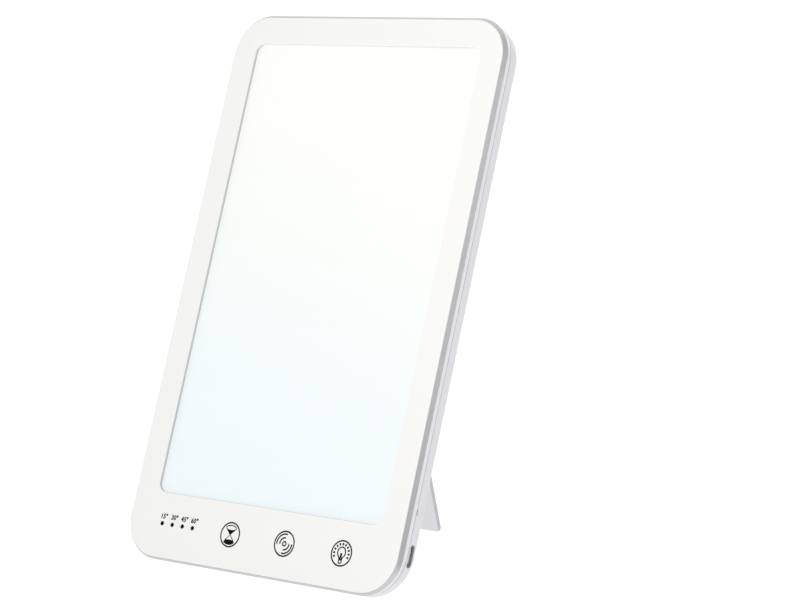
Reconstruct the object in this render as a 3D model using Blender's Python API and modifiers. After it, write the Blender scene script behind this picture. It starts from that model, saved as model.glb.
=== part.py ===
"""Light therapy lamp: a flat light panel that leans on a fold-out stand.

The panel is modelled upright under the empty "lean": X runs across the face, Y runs from the
face to the back, and Z runs up the face from its bottom edge. The empty then leans the panel
back until its foot pads and the opened stand rest on the same level.
"""
import math

import bmesh
import bpy
from mathutils import Matrix, Vector

# Driving dimensions, in metres and degrees

FACE_WIDTH = 0.150
FACE_HEIGHT = 0.250
FACE_CORNER = 0.0175
FACE_THICKNESS = 0.0018
FACE_EDGE_ROUND = 0.0003

WINDOW_SIDE_MARGIN = 0.0122
WINDOW_TOP_MARGIN = 0.0125
WINDOW_BOTTOM_MARGIN = 0.0288
WINDOW_CORNER = 0.0045

TRIM_FLARE = 0.001
TRIM_DEPTH = 0.0022
TRIM_LAND = 0.0004
TRIM_FLANGE = 0.002
BEZEL_RIM = 0.0008

BAND_DEPTH = 0.0023
BAND_WALL = 0.0018
LIP_WALL = 0.0012
LIP_HEIGHT = 0.0015
HOOK_WIDTH = 0.006
HOOK_WALL = 0.0012
HOOK_NUB = 0.0009
HOOK_NUB_REACH = 0.0008
HOOK_SIDE_SHARES = (0.24, 0.40, 0.66, 0.82)
HOOK_END_SPREAD = 0.020

SHELL_WALL = 0.0018
SHELL_EDGE_RADIUS = 0.005
SEAM_NOTCH_HEIGHT = 0.0374
SEAM_NOTCH_LENGTH = 0.005
SEAM_NOTCH_DEPTH = 0.0006

DIFFUSER_THICKNESS = 0.0012
DIFFUSER_OVERLAP = 0.003
GUIDE_THICKNESS = 0.002
GUIDE_OVERLAP = 0.0018
REFLECTOR_THICKNESS = 0.0003
TRAY_THICKNESS = 0.0008
TRAY_MARGIN = 0.001
TRAY_EAR_WIDTH = 0.010
TRAY_EAR_INSET = 0.0276
TRAY_POST_RISE = 0.0031

LED_COUNT = 20
LED_LENGTH = 0.004
LED_HEIGHT = 0.0007
LED_DEPTH = 0.0014
LED_BOARD_THICKNESS = 0.0009
LEAD_DIAMETER = 0.001
LEAD_ROUTE_SHARES = ((0, 0.4), (0.12, 0.8), (0.4, 0.97), (0.8, 1))

KEY_HEIGHT = 0.0147
TOUCH_BOARD_INSET_LEFT = 0.0144
TOUCH_BOARD_INSET_RIGHT = 0.021
TOUCH_BOARD_HEIGHT = 0.0165
TOUCH_BOARD_THICKNESS = 0.001
TIMER_INSET = 0.0191
TIMER_PITCH = 0.00594
TIMER_COUNT = 4
TIMER_LENS_DIAMETER = 0.0016
TIMER_LENS_PLAY = 0.00015

BOARD_SPACING = 0.00117
BOARD_THICKNESS = 0.0012
BOARD_BOTTOM = 0.0046
BOARD_TOP = 0.0232
BOARD_INSET = 0.0095
BOARD_POST_INSET = 0.012
BOARD_POST_LOW = 0.0076
BOARD_POST_HIGH = 0.0202

SOCKET_HEIGHT = 0.0184
SOCKET_LENGTH = 0.00894
SOCKET_THICKNESS = 0.0031
SOCKET_REACH = 0.0073
SOCKET_SHEET = 0.0003
SOCKET_RECESS = 0.0006
TONGUE_WIDTH = 0.0064
TONGUE_THICKNESS = 0.0007
TONGUE_REACH = 0.0045
TONGUE_BASE = 0.0018
SOCKET_ROUND_SHARE = 0.96

LED_SOCKET_INSET = 0.0215
LED_SOCKET_SIZE = Vector((0.0056, 0.0028, 0.005))
LED_SOCKET_HEIGHT = 0.0112
FLEX_INSET = 0.035
FLEX_WIDTH = 0.008
FLEX_THICKNESS = 0.0002
FLEX_RUN = 0.008
FLEX_SOCKET_SIZE = Vector((0.010, 0.0014, 0.003))

CHIP_SIZE = Vector((0.007, 0.0012, 0.007))
DRIVER_CHIP_SIZE = Vector((0.0039, 0.0014, 0.005))
INDUCTOR_DIAMETER = 0.006
INDUCTOR_HEIGHT = 0.0026
CAPACITOR_DIAMETER = 0.004
CAPACITOR_HEIGHT = 0.0029
PART_SPACING_SHARE = 0.75

HINGE_HEIGHT = 0.1532
HINGE_WALL = 0.0009
BARREL_RADIUS = 0.002
LEG_WIDTH = 0.050
LEG_END_HEIGHT = 0.0107
LEG_THICKNESS = 0.0024
LEG_CORNER = 0.003
LEG_HEEL = 0.0032
LEG_EDGE_ROUND = 0.0004
LEG_PLAY = 0.0005
OPEN_ANGLE = math.radians(36)
PIN_RADIUS = 0.001
PIN_IN_LEG = 0.008
PIN_IN_LUG = 0.006
PIN_PLAY = 0.0001
WASHER_THICKNESS = 0.0006
LUG_WIDTH = 0.0085
POCKET_WALL = 0.0012
RIB_LENGTH = 0.040
RIB_PLACE_SHARE = 0.72
SCOOP_RADIUS = 0.010
SCOOP_DEPTH = 0.0042
SCOOP_RISE = 0.0054

LEG_PAD_WIDTH = 0.036
LEG_PAD_BREADTH = 0.0012
LEG_PAD_HEIGHT = 0.0016
LEG_PAD_PROUD = 0.0005
FOOT_PAD_INSET = 0.026
FOOT_PAD_WIDTH = 0.018
FOOT_PAD_BREADTH = 0.0036
FOOT_PAD_HEIGHT = 0.0012
FOOT_PAD_PROUD = 0.0005

SCREW_INSET = 0.0056
SCREW_HEIGHTS_SHARES = (0.136, 0.512, 0.928)
CASE_HEAD_RADIUS = 0.0021
CASE_HEAD_HEIGHT = 0.0012
CASE_SHANK_RADIUS = 0.0011
CASE_HEAD_RECESS = 0.0006
CASE_BOSS_WALL = 0.0012
COLUMN_WALL = 0.0012
COLUMN_FLOOR = 0.0012
SMALL_HEAD_RADIUS = 0.0015
SMALL_HEAD_HEIGHT = 0.0009
SMALL_SHANK_RADIUS = 0.0007
POST_WALL = 0.001
CROWN_WIDTH_SHARE = 0.7
CROWN_RISE_SHARE = 0.6
CROSS_ARM_SHARE = 0.62
CROSS_BLADE_SHARE = 0.14
CROSS_FLOOR_SHARE = 0.45

GAP = 0.0003
OVERRUN = 0.002
MERGE_DISTANCE = 0.00001
TANGENT_RELIEF = 0.00001
SHARP_ANGLE = math.radians(35)

CORNER_STEPS = 8
SMALL_STEPS = 4
ROUND_SIDES = 24
SMALL_SIDES = 14

# Depths behind the face, from front to back

trim_rear = TRIM_DEPTH
band_front = trim_rear + GAP
seam_depth = band_front + BAND_DEPTH
shell_front = seam_depth + GAP
diffuser_front = FACE_THICKNESS + GAP
diffuser_rear = diffuser_front + DIFFUSER_THICKNESS
guide_front = diffuser_rear + GAP
guide_rear = guide_front + GUIDE_THICKNESS
reflector_front = guide_rear + GAP
reflector_rear = reflector_front + REFLECTOR_THICKNESS
tray_front = reflector_rear + GAP
tray_rear = tray_front + TRAY_THICKNESS

heel_swing = LEG_HEEL * math.sin(OPEN_ANGLE) + (LEG_THICKNESS - BARREL_RADIUS) * math.cos(OPEN_ANGLE)
stop_depth = tray_rear + GAP + HINGE_WALL
hinge_depth = stop_depth + GAP + max(heel_swing, BARREL_RADIUS)
body_depth = hinge_depth + BARREL_RADIUS
shell_floor = body_depth - SHELL_WALL
pocket_floor = body_depth - LEG_THICKNESS - GAP
scoop_floor = body_depth - SCOOP_DEPTH

touch_front = FACE_THICKNESS + GAP
touch_rear = touch_front + TOUCH_BOARD_THICKNESS
board_front = touch_rear + BOARD_SPACING
board_rear = board_front + BOARD_THICKNESS
parts_front = board_rear + GAP
socket_depth = parts_front + SOCKET_THICKNESS / 2

# Widths and heights

half_face = FACE_WIDTH / 2
half_body = half_face + TRIM_FLARE
body_bottom = -TRIM_FLARE
body_top = FACE_HEIGHT + TRIM_FLARE
body_corner = FACE_CORNER + TRIM_FLARE
frame_inset = BAND_WALL + GAP + LIP_WALL
frame_inner = half_body - frame_inset

window_half = half_face - WINDOW_SIDE_MARGIN
window_low = WINDOW_BOTTOM_MARGIN
window_high = FACE_HEIGHT - WINDOW_TOP_MARGIN
guide_half = window_half + GUIDE_OVERLAP
guide_low = window_low - GUIDE_OVERLAP
guide_high = window_high + GUIDE_OVERLAP
strip_inner = guide_half + GAP
strip_face = strip_inner + LED_HEIGHT
strip_outer = strip_face + LED_BOARD_THICKNESS
tray_inner = strip_outer + GAP
tray_half = tray_inner + TRAY_THICKNESS
tray_low = guide_low - TRAY_MARGIN
tray_high = guide_high + TRAY_MARGIN

touch_low = KEY_HEIGHT - TOUCH_BOARD_HEIGHT / 2
touch_high = KEY_HEIGHT + TOUCH_BOARD_HEIGHT / 2
screw_x = half_body - SCREW_INSET
board_post_x = half_face - BOARD_POST_INSET
timer_first_x = TIMER_INSET - half_face
led_socket_x = half_face - LED_SOCKET_INSET
flex_x = FLEX_INSET - half_face
ear_x = tray_half - TRAY_EAR_INSET
foot_pad_x = half_body - FOOT_PAD_INSET
pocket_half = LEG_WIDTH / 2 + LEG_PLAY
barrel_half = LEG_WIDTH / 2 - WASHER_THICKNESS - GAP
lug_face = LEG_WIDTH / 2 + GAP

# The lean: foot pads and opened leg share one level


def leg_point(depth, reach):
    """Panel depth and height of a point of the opened leg, from its place on the folded leg."""
    sine = math.sin(OPEN_ANGLE)
    cosine = math.cos(OPEN_ANGLE)
    return (hinge_depth + depth * cosine + reach * sine, HINGE_HEIGHT + depth * sine - reach * cosine)


leg_reach = HINGE_HEIGHT - LEG_END_HEIGHT
plate_middle = BARREL_RADIUS - LEG_THICKNESS / 2
foot_depth, foot_height = leg_point(plate_middle, leg_reach)
edge_depth = body_depth - SHELL_EDGE_RADIUS
edge_height = body_bottom + SHELL_EDGE_RADIUS
edge_drop = SHELL_EDGE_RADIUS + FOOT_PAD_PROUD
span = math.hypot(foot_height - edge_height, foot_depth - edge_depth)
span_angle = math.atan2(foot_depth - edge_depth, foot_height - edge_height)
LEAN = math.acos(-edge_drop / span) - span_angle


def level(depth, height):
    """World Y and Z of a panel point before the panel is set down."""
    sine = math.sin(LEAN)
    cosine = math.cos(LEAN)
    return (depth * cosine + height * sine, height * cosine - depth * sine)


floor_level = level(edge_depth, edge_height)[1] - edge_drop
front_most = level(0, -GAP / 2)[0]
back_most = max(
    level(foot_depth, foot_height)[0] + plate_middle,
    level(edge_depth, body_top - SHELL_EDGE_RADIUS)[0] + SHELL_EDGE_RADIUS,
)
set_back = -(front_most + back_most) / 2

# Scene and collections

for old in list(bpy.data.objects):
    bpy.data.objects.remove(old, do_unlink=True)

parts = bpy.data.collections.new("light_therapy_lamp")
cutters = bpy.data.collections.new("cutters")
bpy.context.scene.collection.children.link(parts)
bpy.context.scene.collection.children.link(cutters)


def empty(name, location, turn, parent=None):
    frame = bpy.data.objects.new(name, None)
    frame.location = location
    frame.rotation_euler = (turn, 0, 0)
    frame.parent = parent
    parts.objects.link(frame)
    return frame


lean = empty("lean", (0, set_back, -floor_level), -LEAN)
hinge = empty("hinge", (0, hinge_depth, HINGE_HEIGHT), OPEN_ANGLE, lean)


def material(name, colour, roughness, metallic=0.0):
    finish = bpy.data.materials.new(name)
    finish.use_nodes = True
    shader = finish.node_tree.nodes["Principled BSDF"]
    shader.inputs["Base Color"].default_value = (*colour, 1)
    shader.inputs["Roughness"].default_value = roughness
    shader.inputs["Metallic"].default_value = metallic
    return finish


WHITE_FACE = material("white_face_plastic", (0.91, 0.91, 0.90), 0.32)
GREY_TRIM = material("grey_trim_paint", (0.48, 0.48, 0.49), 0.35, 0.3)
PALE_SHELL = material("pale_shell_plastic", (0.78, 0.78, 0.80), 0.45)
OPAL = material("opal_diffuser", (0.95, 0.96, 0.94), 0.5)
CLEAR = material("clear_acrylic", (0.90, 0.94, 0.95), 0.1)
REFLECTIVE = material("white_reflector_film", (0.95, 0.95, 0.95), 0.3)
ALUMINIUM = material("tray_aluminium", (0.75, 0.76, 0.77), 0.35, 1.0)
STEEL = material("zinc_steel", (0.62, 0.62, 0.60), 0.3, 1.0)
BOARD_GREEN = material("board_green", (0.03, 0.20, 0.10), 0.4)
BOARD_WHITE = material("board_white", (0.86, 0.86, 0.84), 0.4)
CHIP_BLACK = material("chip_black", (0.02, 0.02, 0.02), 0.5)
LEAD_WHITE = material("lead_white", (0.85, 0.85, 0.83), 0.5)
SMOKED = material("smoked_lens", (0.03, 0.03, 0.035), 0.2)
NYLON = material("nylon", (0.80, 0.79, 0.74), 0.5)
RUBBER = material("pale_rubber", (0.78, 0.78, 0.79), 0.85)
SOCKET_BLACK = material("socket_black", (0.03, 0.03, 0.03), 0.6)

# Building blocks


def new_object(name, mesh, finish=None, parent=lean):
    """An object in the parts collection, or a hidden cutter where it has no finish."""
    made = bpy.data.objects.new(name, mesh)
    made.parent = parent
    if finish:
        mesh.materials.append(finish)
        parts.objects.link(made)
    else:
        made.hide_render = True
        made.display_type = "WIRE"
        cutters.objects.link(made)
    return made


def finish_mesh(name, shape):
    mesh = bpy.data.meshes.new(name)
    shape.normal_update()
    shape.to_mesh(mesh)
    shape.free()
    mesh.shade_smooth()
    mesh.set_sharp_from_angle(angle=SHARP_ANGLE)
    return mesh


def box(name, low, high, finish=None, parent=lean, rounded=0, steps=1):
    """A box between two corners, with its edges rounded where asked."""
    shape = bmesh.new()
    bmesh.ops.create_cube(shape, size=1)
    size = Vector(high) - Vector(low)
    bmesh.ops.scale(shape, vec=size, verts=shape.verts)
    if rounded:
        bmesh.ops.bevel(
            shape, geom=shape.edges[:], offset=rounded, offset_type="OFFSET", segments=steps,
            profile=0.5, affect="EDGES")
    made = new_object(name, finish_mesh(name, shape), finish, parent)
    made.location = (Vector(low) + Vector(high)) / 2
    return made


def along_depth(edge):
    """True for an edge that runs from front to back."""
    run = edge.verts[1].co - edge.verts[0].co
    return abs(run.y) > abs(run.x) + abs(run.z)


def facing(shape, direction):
    """The one flat face at the front, -1, or at the back, 1."""
    return max(shape.faces, key=lambda face: face.calc_center_median().y * direction)


def slab(name, half, low, high, front, rear, corner, finish=None, parent=lean, steps=CORNER_STEPS,
         flare=0, land=0, front_round=0, rear_round=0, round_steps=2):
    """A flat block with rounded corners, a flared front edge and rounded front and rear rims."""
    shape = bmesh.new()
    bmesh.ops.create_cube(shape, size=1)
    start = rear - land if flare else front
    bmesh.ops.scale(shape, vec=Vector((half * 2, rear - start, high - low)), verts=shape.verts)
    bmesh.ops.translate(shape, vec=Vector((0, (start + rear) / 2, 0)), verts=shape.verts)
    corners = [edge for edge in shape.edges if along_depth(edge)]
    bmesh.ops.bevel(
        shape, geom=corners, offset=corner, offset_type="OFFSET", segments=steps, profile=0.5,
        affect="EDGES")
    if flare:
        face = facing(shape, -1)
        bmesh.ops.inset_region(shape, faces=[face], thickness=flare, depth=0, use_even_offset=True)
        bmesh.ops.translate(shape, vec=Vector((0, front - start, 0)), verts=face.verts)
    if rear_round:
        bevel_rim(shape, facing(shape, 1), rear_round, round_steps)
    if front_round:
        bevel_rim(shape, facing(shape, -1), front_round, round_steps)
    made = new_object(name, finish_mesh(name, shape), finish, parent)
    made.location = (0, 0, (low + high) / 2)
    return made


def bevel_rim(shape, face, width, steps):
    bmesh.ops.bevel(
        shape, geom=list(face.edges), offset=width, offset_type="OFFSET", segments=steps,
        profile=0.5, affect="EDGES")


def cylinder(name, radius, start, end, finish=None, parent=lean, sides=ROUND_SIDES):
    """A round bar between two points."""
    run = Vector(end) - Vector(start)
    shape = bmesh.new()
    bmesh.ops.create_cone(
        shape, cap_ends=True, segments=sides, radius1=radius, radius2=radius, depth=run.length)
    turn = run.to_track_quat("Z", "Y").to_matrix()
    bmesh.ops.rotate(shape, cent=Vector(), matrix=turn, verts=shape.verts)
    made = new_object(name, finish_mesh(name, shape), finish, parent)
    made.location = (Vector(start) + Vector(end)) / 2
    return made


def boolean(target, tool, operation):
    change = target.modifiers.new(operation.lower() + "_" + tool.name, "BOOLEAN")
    change.operation = operation
    change.solver = "EXACT"
    change.object = tool


def cut(target, *tools):
    for tool in tools:
        boolean(target, tool, "DIFFERENCE")


def join(target, *tools):
    for tool in tools:
        boolean(target, tool, "UNION")


def baked(source, name):
    """The evaluated mesh of an object, which is then removed."""
    bpy.context.view_layer.update()
    state = source.evaluated_get(bpy.context.evaluated_depsgraph_get())
    mesh = bpy.data.meshes.new_from_object(state)
    mesh.name = name
    bpy.data.objects.remove(source, do_unlink=True)
    return mesh


def screw_mesh(name, head_radius, head_height, shank_radius, shank_length):
    """A pan-head screw with a cross recess. Its head points along +Z and seats at zero."""
    crown = head_radius * CROWN_WIDTH_SHARE
    rise = head_height * CROWN_RISE_SHARE
    profile = [
        (0, head_height), (crown, head_height), (head_radius, rise), (head_radius, 0),
        (shank_radius, 0), (shank_radius, shank_radius - shank_length), (0, -shank_length)]
    mesh = bpy.data.meshes.new(name)
    mesh.from_pydata(
        [(x, 0, z) for x, z in profile], [(i, i + 1) for i in range(len(profile) - 1)], [])
    body = new_object(name, mesh, STEEL, None)
    turn = body.modifiers.new("turn", "SCREW")
    turn.steps = SMALL_SIDES
    turn.render_steps = SMALL_SIDES
    turn.use_merge_vertices = True
    turn.merge_threshold = MERGE_DISTANCE
    arm = head_radius * CROSS_ARM_SHARE
    blade = head_radius * CROSS_BLADE_SHARE
    top = head_height + OVERRUN
    floor = head_height * CROSS_FLOOR_SHARE
    wide = box(name + "_slot_x", (-arm, -blade, floor), (arm, blade, top), parent=None)
    tall = box(name + "_slot_y", (-blade, -arm, floor), (blade, arm, top), parent=None)
    cut(body, wide, tall)
    made = baked(body, name)
    bpy.data.objects.remove(wide, do_unlink=True)
    bpy.data.objects.remove(tall, do_unlink=True)
    return made


def screw(name, mesh, x, seat, z):
    """A screw whose head faces the back of the panel."""
    made = bpy.data.objects.new(name, mesh)
    made.parent = lean
    made.location = (x, seat, z)
    made.rotation_euler = (-math.pi / 2, 0, 0)
    parts.objects.link(made)
    return made


# Case screws and the columns they bite into

case_seat = body_depth - CASE_HEAD_RECESS - CASE_HEAD_HEIGHT
boss_floor = case_seat - GAP
boss_front = boss_floor - CASE_BOSS_WALL
column_rear = boss_front - GAP
case_tip = band_front + COLUMN_FLOOR + GAP
counterbore = CASE_HEAD_RADIUS + GAP
shank_hole = CASE_SHANK_RADIUS + GAP
column_radius = shank_hole + COLUMN_WALL
boss_radius = counterbore + CASE_BOSS_WALL
screw_heights = [FACE_HEIGHT * share for share in SCREW_HEIGHTS_SHARES]
screw_places = [(side * screw_x, height) for height in screw_heights for side in (-1, 1)]

# Front bezel: flat face with the window, board posts and lens holes


def front_bezel():
    bezel = slab(
        "front_bezel", half_face - GAP / 2, GAP / 2, FACE_HEIGHT - GAP / 2, 0, FACE_THICKNESS,
        FACE_CORNER - GAP / 2, WHITE_FACE, front_round=FACE_EDGE_ROUND, round_steps=1)
    rim_inset = TRIM_FLANGE + GAP / 2
    plate = slab(
        "rim_keep", half_face - rim_inset - GAP, rim_inset + GAP, FACE_HEIGHT - rim_inset - GAP,
        -OVERRUN, FACE_THICKNESS + OVERRUN, FACE_CORNER - rim_inset - GAP)
    rebate = slab(
        "rim_rebate", half_body + OVERRUN, -OVERRUN, FACE_HEIGHT + OVERRUN, BEZEL_RIM,
        FACE_THICKNESS + OVERRUN, FACE_CORNER)
    cut(rebate, plate)
    window = slab(
        "window_opening", window_half, window_low, window_high, -OVERRUN,
        FACE_THICKNESS + OVERRUN, WINDOW_CORNER)
    cut(bezel, rebate, window)
    for index in range(TIMER_COUNT):
        x = timer_first_x + index * TIMER_PITCH
        radius = TIMER_LENS_DIAMETER / 2 + TIMER_LENS_PLAY
        hole = cylinder(
            "lens_hole_%d" % (index + 1), radius, (x, -OVERRUN, KEY_HEIGHT),
            (x, FACE_THICKNESS + OVERRUN, KEY_HEIGHT), sides=SMALL_SIDES)
        cut(bezel, hole)
    posts = [(x, height, board_front - GAP) for x, height in board_screw_places()]
    posts += [(side * ear_x, tray_high + TRAY_POST_RISE, tray_front - GAP) for side in (-1, 1)]
    hole_radius = SMALL_SHANK_RADIUS + GAP
    for index, (x, z, end) in enumerate(posts):
        post = cylinder(
            "bezel_post_%d" % (index + 1), hole_radius + POST_WALL, (x, FACE_THICKNESS / 2, z),
            (x, end, z), sides=SMALL_SIDES)
        bore = cylinder(
            "bezel_post_bore_%d" % (index + 1), hole_radius, (x, FACE_THICKNESS, z),
            (x, end + OVERRUN, z), sides=SMALL_SIDES)
        join(bezel, post)
        cut(bezel, bore)
    snap_hooks(bezel)


def snap_hooks(bezel):
    """Hooks on the bezel's back that catch behind the middle frame's lip."""
    catch = seam_depth + LIP_HEIGHT + GAP
    end = catch + HOOK_NUB
    top_inner = body_top - frame_inset
    bottom_inner = body_bottom + frame_inset
    places = [(side * frame_inner, FACE_HEIGHT * share, side, 0)
              for share in HOOK_SIDE_SHARES for side in (-1, 1)]
    places += [(side * HOOK_END_SPREAD, edge, 0, out)
               for edge, out in ((bottom_inner, -1), (top_inner, 1)) for side in (-1, 1)]
    for index, (x, z, across, up) in enumerate(places):
        name = "snap_hook_%d" % (index + 1)
        arm_x = sorted((x - across * GAP, x - across * (GAP + HOOK_WALL)))
        arm_z = sorted((z - up * GAP, z - up * (GAP + HOOK_WALL)))
        nub_x = sorted((x + across * HOOK_NUB_REACH, x - across * (GAP + HOOK_WALL / 2)))
        nub_z = sorted((z + up * HOOK_NUB_REACH, z - up * (GAP + HOOK_WALL / 2)))
        if across:
            arm_z = nub_z = (z - HOOK_WIDTH / 2, z + HOOK_WIDTH / 2)
        else:
            arm_x = nub_x = (x - HOOK_WIDTH / 2, x + HOOK_WIDTH / 2)
        arm = box(name, (arm_x[0], FACE_THICKNESS / 2, arm_z[0]), (arm_x[1], end, arm_z[1]))
        nub = box(name + "_nub", (nub_x[0], catch, nub_z[0]), (nub_x[1], end, nub_z[1]))
        join(bezel, arm, nub)


def timer_lenses():
    for index in range(TIMER_COUNT):
        x = timer_first_x + index * TIMER_PITCH
        cylinder(
            "timer_lens_%d" % (index + 1), TIMER_LENS_DIAMETER / 2, (x, 0, KEY_HEIGHT),
            (x, touch_front - GAP, KEY_HEIGHT), SMOKED, sides=SMALL_SIDES)


# Edge trim: bevelled ring with a flange under the bezel's rim


def edge_trim():
    trim = slab(
        "edge_trim", half_body, body_bottom, body_top, 0, trim_rear, body_corner, GREY_TRIM,
        flare=TRIM_FLARE - GAP / 2, land=TRIM_LAND)
    seat = slab(
        "trim_seat", half_face + GAP / 2, -GAP / 2, FACE_HEIGHT + GAP / 2, -OVERRUN,
        BEZEL_RIM + GAP, FACE_CORNER + GAP / 2)
    inset = TRIM_FLANGE
    opening = slab(
        "trim_opening", half_face - inset, inset, FACE_HEIGHT - inset, -OVERRUN,
        trim_rear + OVERRUN, FACE_CORNER - inset)
    cut(trim, seat, opening)


# Middle frame: the light band, a lip inside the rear shell and the screw columns


def inset_slab(name, inset, front, rear, **extra):
    """A slab that follows the body outline at a distance inside it."""
    return slab(
        name, half_body - inset, body_bottom + inset, body_top - inset, front, rear,
        body_corner - inset, **extra)


def middle_frame():
    frame = inset_slab("mid_frame", 0, band_front, seam_depth, finish=PALE_SHELL)
    lip = inset_slab("frame_lip", BAND_WALL + GAP, band_front, seam_depth + LIP_HEIGHT)
    inside = inset_slab("frame_inside", frame_inset, band_front - OVERRUN, seam_depth + OVERRUN * 2)
    join(frame, lip)
    cut(frame, inside)
    for index, (x, z) in enumerate(screw_places):
        web_x = math.copysign(frame_inner + LIP_WALL / 2, x)
        column = cylinder(
            "column_%d" % (index + 1), column_radius, (x, band_front, z), (x, column_rear, z),
            sides=SMALL_SIDES)
        web = box(
            "column_web_%d" % (index + 1),
            (min(x, web_x), band_front, z - COLUMN_WALL),
            (max(x, web_x), seam_depth + LIP_HEIGHT, z + COLUMN_WALL))
        bore = cylinder(
            "column_bore_%d" % (index + 1), shank_hole, (x, case_tip - GAP, z),
            (x, column_rear + OVERRUN, z), sides=SMALL_SIDES)
        join(frame, column, web)
        cut(frame, bore)
    passage = box(
        "socket_passage",
        (frame_inner - OVERRUN, socket_depth - SOCKET_THICKNESS / 2 - GAP,
         SOCKET_HEIGHT - SOCKET_LENGTH / 2 - GAP),
        (half_body - BAND_WALL, socket_depth + SOCKET_THICKNESS,
         SOCKET_HEIGHT + SOCKET_LENGTH / 2 + GAP))
    cut(frame, passage)


# Rear shell: back wall, stand pocket, hinge lugs, screw bosses and socket hole

pocket_low = LEG_END_HEIGHT - LEG_PLAY - GAP
pocket_top = HINGE_HEIGHT + math.hypot(LEG_HEEL, BARREL_RADIUS) + LEG_PLAY
lug_outer = lug_face + LUG_WIDTH
barrel_room = BARREL_RADIUS + GAP


def rear_shell():
    shell = inset_slab(
        "rear_shell", 0, shell_front, body_depth, finish=PALE_SHELL,
        rear_round=SHELL_EDGE_RADIUS, round_steps=5)
    hollow = inset_slab(
        "shell_hollow", BAND_WALL, shell_front - OVERRUN, shell_floor,
        rear_round=SHELL_EDGE_RADIUS - SHELL_WALL, round_steps=3)
    cut(shell, hollow)
    inner_face = shell_floor + SHELL_WALL / 2
    pocket_back = box(
        "pocket_block",
        (-pocket_half - POCKET_WALL, pocket_floor - POCKET_WALL, pocket_low - POCKET_WALL),
        (pocket_half + POCKET_WALL, inner_face, HINGE_HEIGHT))
    hinge_back = box(
        "hinge_block", (-lug_outer, stop_depth - HINGE_WALL, HINGE_HEIGHT - barrel_room * 2),
        (lug_outer, inner_face, pocket_top + POCKET_WALL))
    join(shell, pocket_back, hinge_back)
    for index, side in enumerate((-1, 1)):
        middle = side * tray_half * RIB_PLACE_SHARE
        rib = box(
            "tray_rib_%d" % (index + 1),
            (middle - POCKET_WALL / 2, tray_rear + GAP, tray_low + TRAY_MARGIN),
            (middle + POCKET_WALL / 2, inner_face, tray_low + RIB_LENGTH))
        join(shell, rib)
    leg_pocket = box(
        "leg_pocket", (-pocket_half, pocket_floor, pocket_low),
        (pocket_half, body_depth + OVERRUN, HINGE_HEIGHT - (barrel_room + PIN_RADIUS) / 2))
    hinge_pocket = box(
        "hinge_pocket", (-lug_face, stop_depth, HINGE_HEIGHT - barrel_room),
        (lug_face, body_depth + OVERRUN, pocket_top))
    scoop_height = pocket_low + SCOOP_RISE
    scoop = cylinder(
        "finger_scoop", SCOOP_RADIUS, (0, scoop_floor, scoop_height),
        (0, body_depth + OVERRUN, scoop_height))
    scoop_back = cylinder(
        "scoop_block", SCOOP_RADIUS + POCKET_WALL, (0, scoop_floor - POCKET_WALL, scoop_height),
        (0, inner_face, scoop_height))
    join(shell, scoop_back)
    pin_bore = cylinder(
        "pin_bore", PIN_RADIUS + PIN_PLAY, (-lug_face - PIN_IN_LUG - GAP, hinge_depth, HINGE_HEIGHT),
        (lug_face + PIN_IN_LUG + GAP, hinge_depth, HINGE_HEIGHT))
    cut(shell, leg_pocket, hinge_pocket, scoop, pin_bore)
    for index, (x, z) in enumerate(screw_places):
        boss = cylinder(
            "boss_%d" % (index + 1), boss_radius, (x, boss_front, z), (x, inner_face, z),
            sides=SMALL_SIDES)
        head_room = cylinder(
            "head_room_%d" % (index + 1), counterbore, (x, boss_floor, z),
            (x, body_depth + OVERRUN, z), sides=ROUND_SIDES)
        clearance = cylinder(
            "shank_room_%d" % (index + 1), shank_hole, (x, boss_front - OVERRUN, z),
            (x, boss_floor + OVERRUN, z), sides=SMALL_SIDES)
        join(shell, boss)
        cut(shell, head_room, clearance)
    port = rounded_bar(
        "port_hole", half_body - BAND_WALL - OVERRUN, half_body + OVERRUN, SOCKET_THICKNESS / 2 + GAP,
        SOCKET_LENGTH / 2 + GAP)
    notch = box(
        "seam_notch",
        (half_body - SEAM_NOTCH_DEPTH, shell_front - OVERRUN,
         SEAM_NOTCH_HEIGHT - SEAM_NOTCH_LENGTH / 2),
        (half_body + OVERRUN, shell_front + SEAM_NOTCH_DEPTH,
         SEAM_NOTCH_HEIGHT + SEAM_NOTCH_LENGTH / 2))
    cut(shell, port, notch)
    for side in (-1, 1):
        seat = foot_pad_block(
            "foot_seat", side, FOOT_PAD_WIDTH + GAP * 2, FOOT_PAD_BREADTH + GAP * 2,
            FOOT_PAD_HEIGHT + GAP)
        cut(shell, seat)


# Foot pads under the rounded rear edge, level with the table when the panel leans


def foot_pad_block(name, side, width, breadth, height, finish=None):
    """A block whose underside is the lamp's contact level, under the edge radius."""
    side_name = "left" if side < 0 else "right"
    made = box(
        "%s_%s" % (name, side_name), (-width / 2, -breadth / 2, -edge_drop),
        (width / 2, breadth / 2, height - edge_drop), finish)
    pivot = Matrix.Translation((side * foot_pad_x, edge_depth, edge_height))
    turn = Matrix.Rotation(LEAN, 4, "X")
    made.matrix_local = pivot @ turn @ Matrix.Translation(made.location)
    return made


def foot_pads():
    for side in (-1, 1):
        foot_pad_block("foot_pad", side, FOOT_PAD_WIDTH, FOOT_PAD_BREADTH, FOOT_PAD_HEIGHT, RUBBER)


# Light engine: diffuser, guide, reflector, tray and light strips


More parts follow.
